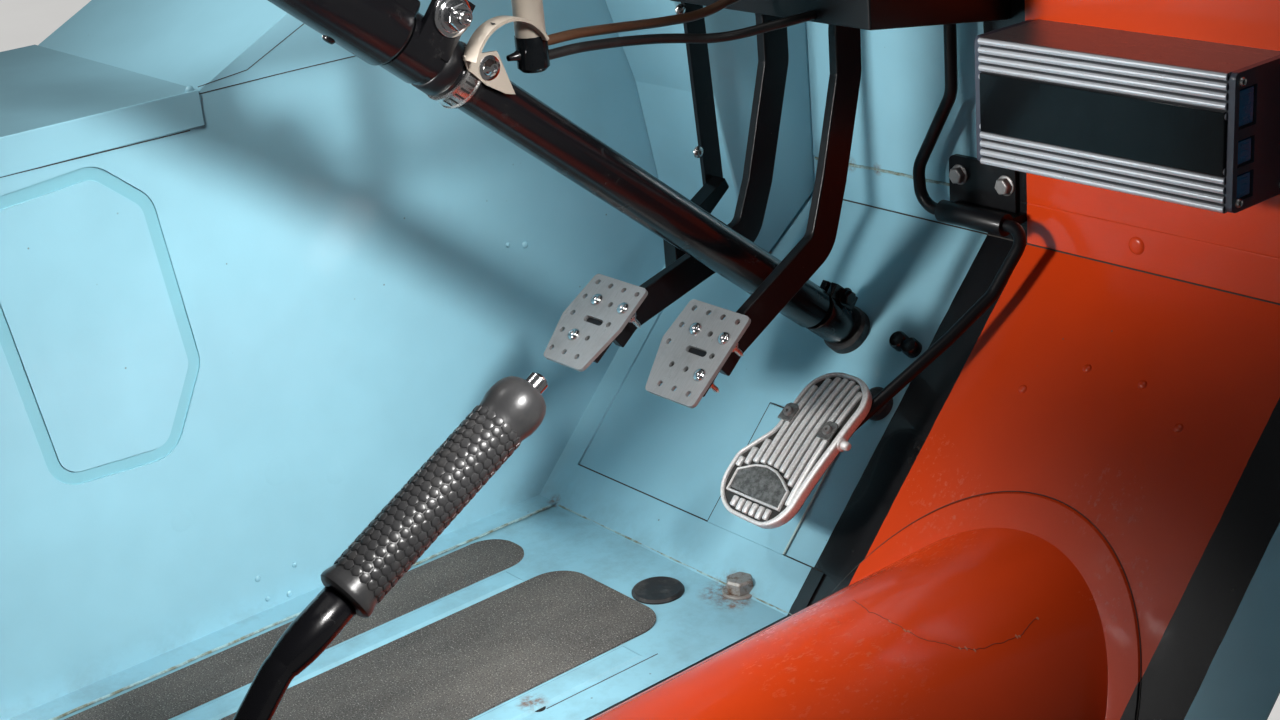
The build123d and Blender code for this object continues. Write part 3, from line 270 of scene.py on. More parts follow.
# The painted band ends at these distances from the tunnel's middle, and its orange above the floor
STRIPE_INNER = 117.0
STRIPE_OUTER = 154.0
STRIPE_WANDER = 1.2
FLOOR_STRIPE_TOP = 3.0

# The pressed band in the side wall: a sphere that holds it, its depth and the painted shade it lays on the
# paint
PRESSING = (-448, -345, 250), 140
PRESSING_FLOOR = 0.9
PRESSING_SHADE = (0.76, 0.88, 0.87, 1)

LOW_DIRT = 30.0
RUST_SPOTS = [  # (x, y, z, radius)
    (-212, -9, 0, 23), (-198, -14, 0, 18), (-195, -198, 0, 13), (-427, 1, 0, 9), (-318, 217, 251, 9),
    (-292, 217, 254, 8), (-262, 217, 255, 6),
]
SCUFF_SPOTS = [  # (x, y, z, radius)
    (-104, 95, 97, 26), (38, 105, 108, 30), (-60, 30, 70, 46), (-75, 80, 82, 34), (20, -120, 84, 60),
    (75, 75, 66, 30), (-52, -90, 72, 40),
]


def shell_paint(name):
    """Blue paint with the orange band and its two black stripes, by the distance from the tunnel's middle."""
    s = Surface(name, roughness=0.32, coat=0.24, coat_roughness=0.06, specular=0.42)
    x, _, z = s.axes()
    aside = s.math("ABSOLUTE", s.math("SUBTRACT", x, ORIGIN.x))
    wander = s.math("MULTIPLY", s.math("SUBTRACT", s.noise(60, 2), 0.5), STRIPE_WANDER * MM)
    edge = s.math("ADD", aside, wander)
    over_floor = s.math("GREATER_THAN", z, ORIGIN.z + FLOOR_STRIPE_TOP * MM)
    orange = s.math("MULTIPLY", s.math("LESS_THAN", edge, STRIPE_INNER * MM), over_floor)
    stripe = s.math("LESS_THAN", edge, STRIPE_OUTER * MM)
    tone = s.span(s.noise(9, 3), 0.1, 0.9, 0.86, 1.10)
    mottle = s.add("ShaderNodeCombineColor", {0: tone, 1: tone, 2: tone}).outputs[0]
    painted = s.mix(stripe, s.mix(1.0, BLUE, mottle, "MULTIPLY"), STRIPE_BLACK)
    painted = s.mix(orange, painted, s.mix(1.0, ORANGE, mottle, "MULTIPLY"))
    # The pressed band in the side wall is painted a shade darker: painted shade in the recess
    behind_wall = s.math("LESS_THAN", x, ORIGIN.x + (WALL_X - PRESSING_FLOOR) * MM)
    pressed = s.math("MULTIPLY", behind_wall, s.math("GREATER_THAN", s.near(*PRESSING), 0.0))
    painted = s.mix(pressed, painted, s.mix(1.0, painted, PRESSING_SHADE, "MULTIPLY"))
    # Fine dark specks of dirt, and pale scuffs on the tunnel
    specks = s.span(s.cells(38), 0.034, 0.020)
    some = s.span(s.noise(16, 2), 0.42, 0.60)
    painted = s.mix(s.math("MULTIPLY", s.math("MULTIPLY", specks, some), 0.75), painted, DIRT)
    torn = s.span(s.noise(210, 6, 0.75, s.stretched(1.0, 0.45, 1.0)), 0.57, 0.68)
    scuffs = s.math("MULTIPLY", s.span(s.near_any(SCUFF_SPOTS), 0.0, 0.6), torn)
    painted = s.mix(s.math("MULTIPLY", scuffs, 0.28), painted, SCUFFED)
    # Rust and dirt that gather round bolts, holes and seams
    stains = s.span(s.near_any(RUST_SPOTS), 0.02, 0.55)
    blotch = s.math("MULTIPLY", s.span(s.noise(160, 7, 0.7), 0.40, 0.62), stains)
    painted = s.mix(s.math("MULTIPLY", blotch, 0.85), painted, RUST)
    low = s.span(z, ORIGIN.z + LOW_DIRT * MM, ORIGIN.z)
    low = s.math("MULTIPLY", low, s.span(s.noise(26, 6, 0.7), 0.45, 0.75))
    s.colour(s.mix(s.math("MULTIPLY", low, 0.30), painted, DIRT))
    s.rough(s.span(scuffs, 0.0, 1.0, 0.27, 0.42))
    peel = s.bump(s.noise(420, 2), 0.05, 0.5)
    s.normal(s.bump(s.noise(11, 2), 1.6, 0.35, under=peel))
    return s.material


def grit_mat(name):
    """Gritty anti-slip mat: pale grains in dark grey."""
    s = Surface(name, roughness=0.85, specular=0.4)
    grains = s.noise(900, 2, 0.75)
    worn = s.noise(17, 5, 0.65, s.stretched(1.0, 0.5, 1.0))
    base = s.mix(s.span(worn, 0.35, 0.7), (0.070, 0.066, 0.061, 1), (0.120, 0.112, 0.101, 1))
    base = s.mix(s.span(grains, 0.60, 0.68), base, (0.36, 0.335, 0.31, 1))
    s.colour(s.mix(s.span(grains, 0.42, 0.34), base, (0.020, 0.019, 0.018, 1)))
    s.normal(s.bump(grains, 0.7, 0.9))
    return s.material


def rubber(name, tone, roughness, dust=1.0):
    """Moulded black rubber with dust in its low places."""
    s = Surface(name, roughness=roughness, specular=0.4)
    dusty = s.math("MULTIPLY", s.span(s.noise(70, 6, 0.7), 0.50, 0.78), dust)
    s.colour(s.mix(dusty, tone, (0.075, 0.070, 0.064, 1)))
    s.normal(s.bump(s.noise(700, 2), 0.10, 0.5))
    return s.material


def black_enamel(name, roughness, chips=0.0, gloss=0.38):
    """Black paint over steel, rubbed bright in small chips."""
    s = Surface(name, roughness=roughness, coat=gloss / 3, coat_roughness=0.12, specular=gloss)
    dust = s.span(s.noise(60, 6, 0.7), 0.56, 0.84)
    base = s.mix(s.math("MULTIPLY", dust, 0.30), (0.004, 0.004, 0.005, 1), (0.040, 0.038, 0.036, 1))
    bright = s.math("MULTIPLY", s.span(s.noise(260, 5, 0.8), 0.71, 0.74), chips)
    s.colour(s.mix(bright, base, (0.30, 0.29, 0.28, 1)))
    s.rough(s.span(dust, 0.0, 1.0, roughness, roughness + 0.22))
    s.normal(s.bump(s.noise(380, 3), 0.06, 0.5))
    return s.material


def bright_metal(name, tone, roughness, grain=(1, 1, 1), mark=0.5, metallic=1.0, depth=0.03):
    """Bare metal with a brushed grain along one axis, and a little grime."""
    s = Surface(name, roughness=roughness, metallic=metallic)
    brushed = s.noise(1300, 3, 0.6, s.stretched(*grain))
    grime = s.span(s.noise(48, 5, 0.7), 0.50, 0.80)
    base = s.mix(s.span(brushed, 0.3, 0.7), tone, dimmed(tone, 0.86))
    s.colour(s.mix(s.math("MULTIPLY", grime, mark), base, dimmed(tone, 0.45)))
    s.rough(s.span(brushed, 0.2, 0.8, roughness - 0.05, roughness + 0.10))
    s.normal(s.bump(brushed, depth, 0.5))
    return s.material


def plain_paint(name, tone, roughness, coat=0.2, specular=0.5, share=1.0):
    """Even paint or plastic with a share of dust and orange peel."""
    s = Surface(name, roughness=roughness, coat=coat, specular=specular)
    dust = s.math("MULTIPLY", s.span(s.noise(55, 5, 0.7), 0.52, 0.85), share)
    s.colour(s.mix(dust, tone, tuple(0.75 * c + 0.03 for c in tone[:3]) + (1,)))
    s.rough(s.span(dust, 0.0, 1.0, roughness, roughness + 0.15))
    s.normal(s.bump(s.noise(450, 2), 0.04, 0.5))
    return s.material


def cast_metal(name, light, shade, metallic):
    """Cast metal, rubbed bright, with darker pores."""
    s = Surface(name, roughness=0.38, metallic=metallic)
    cast = s.noise(620, 4, 0.7)
    s.colour(s.mix(s.span(cast, 0.35, 0.65), light, shade))
    s.rough(s.span(cast, 0.2, 0.8, 0.30, 0.50))
    s.normal(s.bump(cast, 0.10, 0.6))
    return s.material


def finned_metal(name, tone):
    """Bright drawn metal, with painted shade in the low lines between the fins of its front and painted
    darker on top, a painted dark reflection.
    """
    s = Surface(name, roughness=0.30, metallic=0.55)
    drawn = s.noise(1300, 3, 0.6, s.stretched(0.05, 1.0, 1.0))
    base = s.mix(s.span(drawn, 0.3, 0.7), tone, dimmed(tone, 0.88))
    # Painted shade in the low lines between the fins, by depth behind the fins' front
    y = s.axes()[1]
    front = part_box("amp_case")[0].y
    groove_shade = s.span(y, front + 0.9 * MM, front + 2.1 * MM)
    beyond = s.math("LESS_THAN", y, front + 2.7 * MM)
    base = s.mix(s.math("MULTIPLY", groove_shade, beyond), base, (0.045, 0.047, 0.052, 1))
    # Faces that look up are painted darker: a painted dark reflection
    face_z = s.axes(s.add("ShaderNodeTexCoord").outputs["Normal"])[2]
    s.colour(s.mix(s.span(face_z, 0.85, 0.97), base, (0.20, 0.20, 0.21, 1)))
    s.rough(s.span(drawn, 0.2, 0.8, 0.24, 0.38))
    s.normal(s.bump(drawn, 0.01, 0.5))
    return s.material


def blotched(name, tones, blotches, between, skin, bump, roughness, metallic=0.0):
    """Two tones in blotches over a bumpy skin: a noise for each, and the bump's height and strength."""
    s = Surface(name, roughness=roughness, metallic=metallic)
    s.colour(s.mix(s.span(s.noise(*blotches), *between), *tones))
    s.normal(s.bump(s.noise(*skin), *bump))
    return s.material


PAD_GRAIN = (1.0, 0.06, 0.06)
LOOKS = {  # material slot: its look
    "blue_paint": shell_paint("shell_paint_blue"),
    "orange_paint": shell_paint("shell_paint_orange"),
    "grip_mat": grit_mat("grip_mat"),
    "black_rubber": rubber("black_rubber", (0.016, 0.016, 0.017, 1), 0.55),
    "gloss_black": black_enamel("gloss_black", 0.22),
    "satin_black": black_enamel("satin_black", 0.40, chips=0.6, gloss=0.24),
    "bright_steel": bright_metal("bright_steel", (0.62, 0.61, 0.60, 1), 0.25),
    "beige_paint": plain_paint("beige_paint", (0.31, 0.27, 0.225, 1), 0.38),
    "black_plastic": plain_paint(
        "black_plastic", (0.004, 0.005, 0.006, 1), 0.16, coat=0.05, specular=0.2, share=0.15
    ),
    "brushed_pad": bright_metal("brushed_pad", (0.27, 0.275, 0.28, 1), 0.30, PAD_GRAIN, 0.4, 0.45, 0.01),
    "cast_tread": cast_metal("cast_tread", (0.84, 0.83, 0.82, 1), (0.64, 0.63, 0.62, 1), 0.30),
    "amp_metal": finned_metal("amp_metal", (0.72, 0.75, 0.80, 1)),
    "dark_plastic": plain_paint("dark_plastic", (0.045, 0.055, 0.080, 1), 0.42),
    "chrome_plate": bright_metal("chrome_plate", (0.62, 0.62, 0.63, 1), 0.12, mark=0.2),
    "brown_wire": plain_paint("brown_wire", (0.085, 0.040, 0.020, 1), 0.40),
    "black_wire": plain_paint("black_wire", (0.012, 0.012, 0.012, 1), 0.40),
}

# Finishes of the small pieces that share a slot with something larger
# Dark lines for seams, folds and grooves: painted shade in their gaps, with dirt
SEAM_SHADE_AND_DIRT = plain_paint("seam_shade_and_dirt", (0.030, 0.026, 0.022, 1), 0.7, coat=0.0)
CAULK = blotched(
    "old_caulk", [(0.30, 0.48, 0.50, 1), (0.16, 0.17, 0.11, 1)],
    blotches=(90, 5, 0.7), between=(0.42, 0.62), skin=(300, 3), bump=(0.20, 0.6), roughness=0.55,
)
PALE_CAULK = plain_paint("pale_caulk", (0.42, 0.58, 0.56, 1), 0.5, coat=0.0)
GRIP_RUBBER = rubber("grip_rubber", (0.026, 0.026, 0.027, 1), 0.32, dust=0.35)
# Holes and slots: a dark finish that paints the shade inside them
HOLE_SHADE = plain_paint("hole_shade", (0.004, 0.004, 0.004, 1), 0.9, coat=0.0)
PLAQUE_CAST = blotched(
    "plaque_cast", [(0.10, 0.098, 0.094, 1), (0.25, 0.246, 0.24, 1)],
    blotches=(240, 4, 0.7), between=(0.38, 0.66), skin=(520, 4, 0.7), bump=(0.16, 0.7),
    roughness=0.5, metallic=0.7,
)
# The tread's plate between the ribs is dark
TREAD_GROOVE_DARK = cast_metal("tread_groove_dark", (0.030, 0.027, 0.024, 1), (0.012, 0.011, 0.010, 1), 0.0)
GREY_STEEL = bright_metal("grey_steel", (0.30, 0.29, 0.285, 1), 0.42, mark=0.6, metallic=0.6)
CRACKED = plain_paint("cracked_paint", (0.16, 0.018, 0.006, 1), 0.6, coat=0.0)
FLAKED = plain_paint("flaked_paint", (0.45, 0.17, 0.10, 1), 0.35, coat=0.3)
SOCKET_BLUE = plain_paint("socket_blue", (0.02, 0.22, 0.46, 1), 0.25, coat=0.4)
RUSTY = blotched(
    "rusty_steel", [(0.33, 0.32, 0.30, 1), (0.15, 0.08, 0.045, 1)],
    blotches=(150, 5, 0.7), between=(0.50, 0.66), skin=(420, 4), bump=(0.12, 0.7),
    roughness=0.45, metallic=0.35,
)

for subpart in frame["record"]["subparts"]:
    node_mesh = frame["nodes"][subpart["node"]].data
    node_mesh.materials.clear()
    node_mesh.materials.append(LOOKS[subpart["material_slot"]])

# Edges of the carried nodes, rounded by this much in millimetres
EDGES = {
    "side_box": 2.0, "side_box_lid": 0.8, "wheel_arch": 2.5, "crossmember": 1.5, "toe_patch": 0.8,
    "mat_wide": 0.5, "mat_narrow": 0.5, "column_cowl": 1.2, "column_stay": 0.8, "column_bracket": 0.5,
    "stalk_cap": 0.8, "pedal_box": 1.5, "brake_lever": 1.6, "clutch_lever": 1.6, "brake_pad": 0.4,
    "clutch_pad": 0.4, "throttle_bracket": 0.8, "strap": 0.8, "switch_box": 1.2, "amp_end_left": 0.8,
    "amp_end_right": 0.8, "handbrake_bracket": 0.6, "pinch_clamp": 0.8, "band_clamp": 0.3,
}
EDGE_ANGLE = math.radians(32)
for node_name, width in EDGES.items():
    carried = frame["nodes"][node_name]
    carried.modifiers.new("joined", "WELD").merge_threshold = 0.01 * MM
    edge = carried.modifiers.new("rounded", "BEVEL")
    edge.width = width * MM
    edge.segments = 2
    edge.limit_method = "ANGLE"
    edge.angle_limit = EDGE_ANGLE
    edge.harden_normals = True


# Shapes, in millimetres of their own frame


def circle(radius, height, steps):
    """Points round a circle at a height."""
    turns = [2 * math.pi * i / steps for i in range(steps)]
    return [(radius * math.cos(turn), radius * math.sin(turn), height) for turn in turns]


def block(wide, tall):
    """The outline of an upright rectangle about the middle, from half its sizes."""
    return [(-wide, -tall), (wide, -tall), (wide, tall), (-wide, tall)]


class Shape:
    """Vertices and faces gathered from several forms, each placed by a frame."""

    def __init__(self):
        self.verts = []
        self.faces = []

    def rings(self, rings, where, close_ends=True):
        """Rings of equally many points, joined in order."""
        count = len(rings[0])
        start = len(self.verts)
        self.verts.extend(where @ Vector(point) for ring in rings for point in ring)
        for level in range(len(rings) - 1):
            low = start + level * count
            high = low + count
            for i in range(count):
                j = (i + 1) % count
                self.faces.append((low + i, low + j, high + j, high + i))
        if close_ends:
            self.faces.append(tuple(reversed(range(start, start + count))))
            self.faces.append(tuple(range(len(self.verts) - count, len(self.verts))))
        return self

    def lathe(self, profile, where, steps=32):
        """A turned form from (radius, height) rows, closed at both ends."""
        return self.rings([circle(radius, height, steps) for radius, height in profile], where)

    def hexagon(self, across, rows, where, turn=0.0):
        """A six-sided form from (share of its width, height) rows."""
        radius = across / 2 / math.cos(math.pi / 6)
        turned = where @ Matrix.Rotation(turn, 4, "Z")
        return self.lathe([(share * radius, height) for share, height in rows], turned, 6)

    def prism(self, outline, low, high, where):
        """A flat outline given thickness."""
        return self.rings([[(x, y, level) for x, y in outline] for level in (low, high)], where)

    def tube(self, path, radius, flat, up, steps=8):
        """A round or flattened bead along points of the row frame."""
        rings = []
        for i, point in enumerate(path):
            ahead = (path[min(i + 1, len(path) - 1)] - path[max(i - 1, 0)]).normalized()
            side = ahead.cross(Vector(up)).normalized()
            rise = side.cross(ahead).normalized()
            section = circle(radius * MM, 0, steps)
            rings.append([point + side * across + rise * flat * over for across, over, _ in section])
        return self.rings(rings, Matrix.Identity(4))


def show(name, shape, slot, body="shell", bevel=0.0, sharp=35.0, material=None):
    """The piece of that shape, with its finish, riding on its body."""
    mesh = bpy.data.meshes.new(name)
    mesh.from_pydata(shape.verts, [], shape.faces)
    tidy = bmesh.new()
    tidy.from_mesh(mesh)
    bmesh.ops.recalc_face_normals(tidy, faces=tidy.faces)
    tidy.to_mesh(mesh)
    tidy.free()
    piece = bpy.data.objects.new(name, mesh)
    bpy.context.scene.collection.objects.link(piece)
    mesh.materials.append(material or LOOKS[slot])
    mesh.polygons.foreach_set("use_smooth", [True] * len(mesh.polygons))
    mesh.set_sharp_from_angle(angle=math.radians(sharp))
    if bevel:
        edge = piece.modifiers.new("edge", "BEVEL")
        edge.width = bevel * MM
        edge.segments = 2
        edge.angle_limit = math.radians(sharp)
        edge.harden_normals = False
    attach(piece, body)
    return piece


def hex_bolt(shape, where, across, head, washer, washer_thick, turn):
    """A hexagon head with rounded corners on a washer of that radius."""
    shape.lathe([(washer, 0), (washer, washer_thick * 0.7), (washer - 0.6, washer_thick)], where)
    rows = [(1.0, washer_thick), (1.0, washer_thick + head * 0.82), (0.86, washer_thick + head)]
    return shape.hexagon(across, rows, where, turn)


def button_screw(shape, where, radius, height, socket):
    """A button head with a hexagon socket of that width."""
    steps = 24
    sixth = math.pi / 3
    dome = [(radius, 0), (radius, 0.5), (radius * 0.93, 1.3), (radius * 0.76, 2.2), (radius * 0.52, height)]
    rings = [circle(reach, level, steps) for reach, level in dome]
    for depth in (height, height - 1.6):
        ring = []
        for i in range(steps):
            angle = 2 * math.pi * i / steps
            reach = socket / 2 / math.cos((angle + sixth / 2) % sixth - sixth / 2)
            ring.append((reach * math.cos(angle), reach * math.sin(angle), depth))
        rings.append(ring)
    return shape.rings(rings, where)


def seam(name, points, radius, up=UP, material=SEAM_SHADE_AND_DIRT, slot="blue_paint", flat=0.8):
    """A thin bead along points of the layout, flattened towards up; by default dark, painted shade and dirt
    in a seam's gap.
    """
    path = [at(*point) for point in points]
    return show(name, Shape().tube(path, radius, flat, up), slot, sharp=80, material=material)


def stepped(points, pitch):
    """The run's points with more between them, so that a bead can wander."""
    filled = [points[0]]
    for first, last in zip(points, points[1:]):
        count = max(1, round(math.dist(first, last) / pitch))
        for i in range(1, count + 1):
            filled.append(tuple(a + (b - a) * i / count for a, b in zip(first, last)))
    return filled


# Side wall: seam under the lid and along the arch, low bulges and spots of weld
# The wall's seam lines are dark beads: painted shade in the gaps, in the fold and under the lid's lip, with
# dirt
WALL_SEAMS = [  # (name, (y, z) along the wall, radius)
    ("wall_seam", [(-239.7, 390.5), (-170, 390.8), (-101.4, 390.4)], 0.36),
    ("wall_fold", [(-239.5, 395.3), (-201.4, 398.8), (-146.4, 423.8)], 0.30),
    ("lid_shadow_line", [(-250.6, 367.7), (-385.0, 368.6), (-559.0, 368.6)], 0.40),
    ("lid_end_line", [(-239.6, 368.6), (-239.6, 393.0)], 0.16),
]
for seam_name, run, radius in WALL_SEAMS:
    seam(seam_name, [(WALL_X, y, z) for y, z in run], radius, RIGHT)
WALL_BULGES = [(-229, 105, 12.0), (-182, 86, 9.0), (-308, 96, 10.0)]  # (y, z, radius)
WELD_PIPS = [  # (y, z, radius) on the wall, then the two blobs at the lid's corner
    (12.3, 213.6, 2.9), (-3.7, 218.0, 2.1), (-258.6, 29.2, 2.6), (-227.5, 28.4, 2.4), (-235.5, 7.0, 2.6),
    (-253.5, 10.3, 2.2), (-245.8, 394.2, 3.4), (-241.6, 388.0, 3.6),
]
wall_spots = Shape()
for y, z, radius in WALL_BULGES:
    rows = [(radius, -0.15), (radius * 0.8, 0.06), (radius * 0.5, 0.22), (radius * 0.2, 0.30), (0.3, 0.31)]
    wall_spots.lathe(rows, on_wall(y, z), 36)
for y, z, radius in WELD_PIPS:
    rows = [(1.0, -0.2 / radius), (0.85, 0.25), (0.45, 0.42), (0.2 / radius, 0.45)]
    wall_spots.lathe([(radius * out, radius * over) for out, over in rows], on_wall(y, z), 16)
show("wall_dimples", wall_spots, "blue_paint", sharp=70)

# Toe board: painted shade and dirt in the lap, beads round the patch, caulk at its foot and top, weld pips
# and bosses
patch_low, patch_high = layout_box("toe_patch")
LAP_ENDS = (-424.0, -146.0)
lap_run = stepped([(x, FLOOR_LAP + 0.5) for x in LAP_ENDS], 20)
seam("toe_lap_line", [toe_point(x, up) for x, up in lap_run], 0.75, TOE_OUT)
PATCH_ENDS = (FLOOR_LAP + 1.0, FLOOR_LAP + 102.5)
# The patch's left and top beads are dark: painted shade and dirt at its edges
patch_left = [toe_point(patch_low.x + 0.3, up, SHEET - 0.1) for up in PATCH_ENDS]
seam("toe_patch_left", patch_left, 0.40, TOE_OUT)
patch_top = [toe_point(x, PATCH_ENDS[1], SHEET - 0.3) for x in (patch_low.x, patch_high.x)]
seam("toe_patch_top", patch_top, 0.40, TOE_OUT)
patch_run = stepped([(patch_high.x + 0.3, up) for up in PATCH_ENDS], 6)
patch_right = [toe_point(x, up, SHEET - 0.4) for x, up in patch_run]
seam("toe_patch_right", patch_right, 0.9, TOE_OUT, PALE_CAULK)
random.seed(4)
foot_bead = [(x, -0.6 + random.uniform(-0.4, 0.4), 0.9) for x in range(-420, -140, 7)]
seam("toe_foot_caulk", foot_bead, 1.5, UP, CAULK, flat=0.6)
sill_bead = [(-423.4 + random.uniform(-0.4, 0.4), y, 1.6) for y in range(-556, 2, 9)]
seam("sill_caulk", sill_bead, 1.4, UP, CAULK, flat=0.6)
CROSS_CAULK = [(-329.5, 252.6), (-300.0, 253.6), (-259.6, 254.6), (-190.0, 255.0), (-150.0, 255.0)]
cross_run = stepped([(x, 0, z) for x, z in CROSS_CAULK], 6)
cross_bead = [(x, BULKHEAD_Y - 0.4, z + random.uniform(-0.3, 0.3)) for x, _, z in cross_run]
seam("crossmember_caulk", cross_bead, 1.2, REARWARD, CAULK, flat=0.7)
# A dark line at the toe board's top: painted shade and dirt in the joint
TOE_TOP = (BULKHEAD_Y - 0.2, math.tan(TOE_ANGLE) * BULKHEAD_Y)
seam("toe_top_line", [(x, *TOE_TOP) for x in (-330.0, 199.0)], 0.6, TOE_OUT)
# A dark line round the tunnel's collar: painted shade and dirt at its edge
collar_run = []
for step in range(-30, 31):
    turn = math.radians(2.2 * step)
    reach = TUNNEL_R + COLLAR_WIDTH + 0.3
    z = reach * math.cos(turn) - TUNNEL_DROP
    collar_run.append(toe_point(reach * math.sin(turn), z / math.sin(TOE_ANGLE), 0.7))
seam("collar_line", collar_run, 0.32, TOE_OUT, slot="orange_paint")
pips = Shape()
for x, up in [(-22, 235), (23, 235), (62, 214), (-62, 208)]:
    pips.lathe([(3.4, -0.2), (3.0, 0.7), (1.8, 1.3), (0.4, 1.5)], on_toe(x, up), 20)
show("toe_pips", pips, "orange_paint", sharp=70)
cross_bump = Shape().lathe([(6.5, -0.2), (6.0, 0.8), (4.0, 1.6), (1.0, 1.9)], on_bulkhead(-22.6, 241.0), 24)
show("crossmember_bump", cross_bump, "orange_paint", sharp=70)
bosses = Shape()
for x, up in [(-178.0, 214.0), (-165.0, 212.0)]:
    bosses.lathe([(6.8, -0.3), (6.8, 7.0), (5.8, 8.4), (3.0, 8.8)], on_toe(x, up), 28)
show("toe_bosses", bosses, "gloss_black", sharp=45)

# Floor: bolt with its washer, drain hole, groove and the plug's rim
floor_bolt = hex_bolt(Shape(), on_floor(-204.7, -0.7, -0.1), 19.0, 9.5, 13.5, 2.0, 0.3)
show("floor_bolt", floor_bolt, "bright_steel", bevel=0.5, material=RUSTY)
# The drain hole is a dark disc: painted shade in the hole
drain = Shape().lathe([(4.6, -0.2), (4.6, 0.25), (0.2, 0.25)], on_floor(-187.7, -198.1), 24)
show("drain_hole", drain, "blue_paint", material=HOLE_SHADE)
# The groove is a dark line: painted shade and dirt in it
seam("floor_groove", [(-183.4, -195.0, 0.0), (-182.3, -99.2, 0.0)], 0.40)
plug_middle = sum(layout_box("floor_plug"), Vector()) / 2
RIM_ROWS = [(18.9, 1.2), (18.6, 2.6), (17.6, 3.2), (16.2, 2.8), (15.4, 2.55), (0.5, 2.6)]
plug_rim = Shape().lathe(RIM_ROWS, on_floor(plug_middle.x, plug_middle.y), 48)
show("floor_plug_rim", plug_rim, "black_rubber", sharp=60)

# Steering column: collars of the cowl, slotted band with its lips
collars = Shape()
for low, high, radius in [(428, 441, 18.9), (555, 562, 22.6)]:
    rows = [(radius - 1, low), (radius, low + 1), (radius, high - 1), (radius - 1, high)]
    collars.lathe(rows, on_column(0), 48)
show("column_collars", collars, "satin_black", sharp=50)
BAND_MIDDLE = 419.0
BAND_R = 19.25
SLOTS, SLOT_FIRST, SLOT_TURN = 9, -70, 15
band_slots = Shape()
for i in range(SLOTS):
    turned = Matrix.Rotation(math.radians(SLOT_FIRST + SLOT_TURN * i), 4, "Z")
    slot = [(BAND_R, across, BAND_MIDDLE + along) for across, along in block(0.7, 3.6)]
    raised = [(1.006 * out, 1.006 * across, along) for out, across, along in slot]
    band_slots.rings([slot, raised], on_column(0) @ turned)
# The slots are dark sheets: painted shade in them
show("band_slots", band_slots, "bright_steel", material=HOLE_SHADE)
band_lips = Shape()
for along in (BAND_MIDDLE - 5.6, BAND_MIDDLE + 5.6):
    rows = [(18.6, along - 0.7), (19.7, along - 0.5), (19.7, along + 0.5), (18.6, along + 0.7)]
    band_lips.lathe(rows, on_column(0), 48)
show("band_lips", band_lips, "bright_steel", sharp=50)

# Steering column: nut, screws, slot of the bracket and pinch bolt
stud = Shape()
nut_spot = pose((COLUMN_X + 19.5, -186.4, 458.0), RIGHT, UP)
stud.lathe([(13.0, 0), (13.0, 1.8), (11.8, 2.2), (10.0, 2.3), (10.0, 3.4), (9.2, 3.8)], nut_spot, 36)
stud.hexagon(15.0, [(0.9, 3.6), (1.0, 4.6), (1.0, 9.6), (0.88, 10.8)], nut_spot, 0.2)
stud.lathe([(4.6, 10.0), (4.6, 15.0), (3.9, 16.0), (2.4, 16.1), (2.2, 14.6)], nut_spot, 24)
show("column_nut", stud, "chrome_plate", bevel=0.3)
bracket_screw = Shape()
screw_spot = pose((COLUMN_X + 21.2, -165.2, 422.4), RIGHT, UP)
bracket_screw.lathe([(7.6, 0), (7.6, 0.9), (6.6, 1.3)], screw_spot)
button_screw(bracket_screw, screw_spot @ Matrix.Translation((0, 0, 1.2)), 5.6, 4.2, 4.0)
show("bracket_screw", bracket_screw, "chrome_plate", sharp=40)
column_screws = Shape()
stay_spot = pose((-232.4, -257.3, 456.2), (-0.11, -0.632, -0.767), (0, -0.77, 0.63))
button_screw(column_screws, stay_spot, 4.2, 2.6, 2.4)
button_screw(column_screws, pose((-214.0, -139.0, 423.5), REARWARD, UP), 3.6, 8.0, 2.2)
show("column_small_screws", column_screws, "gloss_black", sharp=40)
# The bracket's slot is a dark sheet: painted shade in it
slot_spot = pose((COLUMN_X + 27.0, -163.0, 449.4), UP, (0.5, 1, 0))
show("bracket_slot", Shape().prism(block(4.2, 1.1), 0, 0.25, slot_spot), "beige_paint", material=HOLE_SHADE)
PINCH_ALONG, PINCH_ASIDE, PINCH_OVER = 28, 7.5, 19.0
pinch = Shape()
pinch_spot, pinch_back = (
    on_column(PINCH_ALONG) @ Matrix.Translation((side * PINCH_ASIDE, PINCH_OVER, 0))
    @ Matrix.Rotation(side * math.pi / 2, 4, "Y") for side in (1, -1)
)
pinch.hexagon(10.0, [(1.0, 0), (1.0, 5.5), (0.86, 6.5)], pinch_spot)
pinch.lathe([(7.0, 0), (7.0, 1.2)], pinch_spot, 24)
pinch.hexagon(10.0, [(0.9, 0), (1.0, 1.0), (1.0, 6.0)], pinch_back)
show("pinch_bolt", pinch, "gloss_black", body="steering", bevel=0.3)

# Pads: button heads in front, washers and studs behind
PAD_THICK = 8.0
PADS = {  # body: (frame, screws as (x, up))
    "brake": (on_pad(45.5, -41.6, 206.1, 41.8), [(-11.7, 14.5), (17.0, 14.5), (15.2, -15.0)]),
    "clutch": (on_pad(-49.5, -53.5, 209.5, 37.0), [(-10.0, 15.6), (19.0, 15.6), (-8.2, -15.0)]),
}
for pedal, (pad_frame, screws) in PADS.items():
    heads, studs = Shape(), Shape()
    for x, up in screws:
        place = pad_frame @ Matrix.Translation((x, up, 0))
        button_screw(heads, place, 4.9, 2.6, 2.8)
        behind = place @ Matrix.Translation((0, 0, -PAD_THICK)) @ Matrix.Rotation(math.pi, 4, "X")
        studs.lathe([(5.2, -0.2), (5.2, 0.9)], behind, 20)
        studs.hexagon(7.0, [(1.0, 0.8), (1.0, 3.8)], behind)
        studs.lathe([(2.0, 3.6), (2.0, 11.5), (1.7, 12.6), (0.5, 15.0)], behind, 16)
    show(f"{pedal}_pad_screws", heads, "chrome_plate", pedal, sharp=40)
    show(f"{pedal}_pad_studs", studs, "bright_steel", pedal, bevel=0.2)

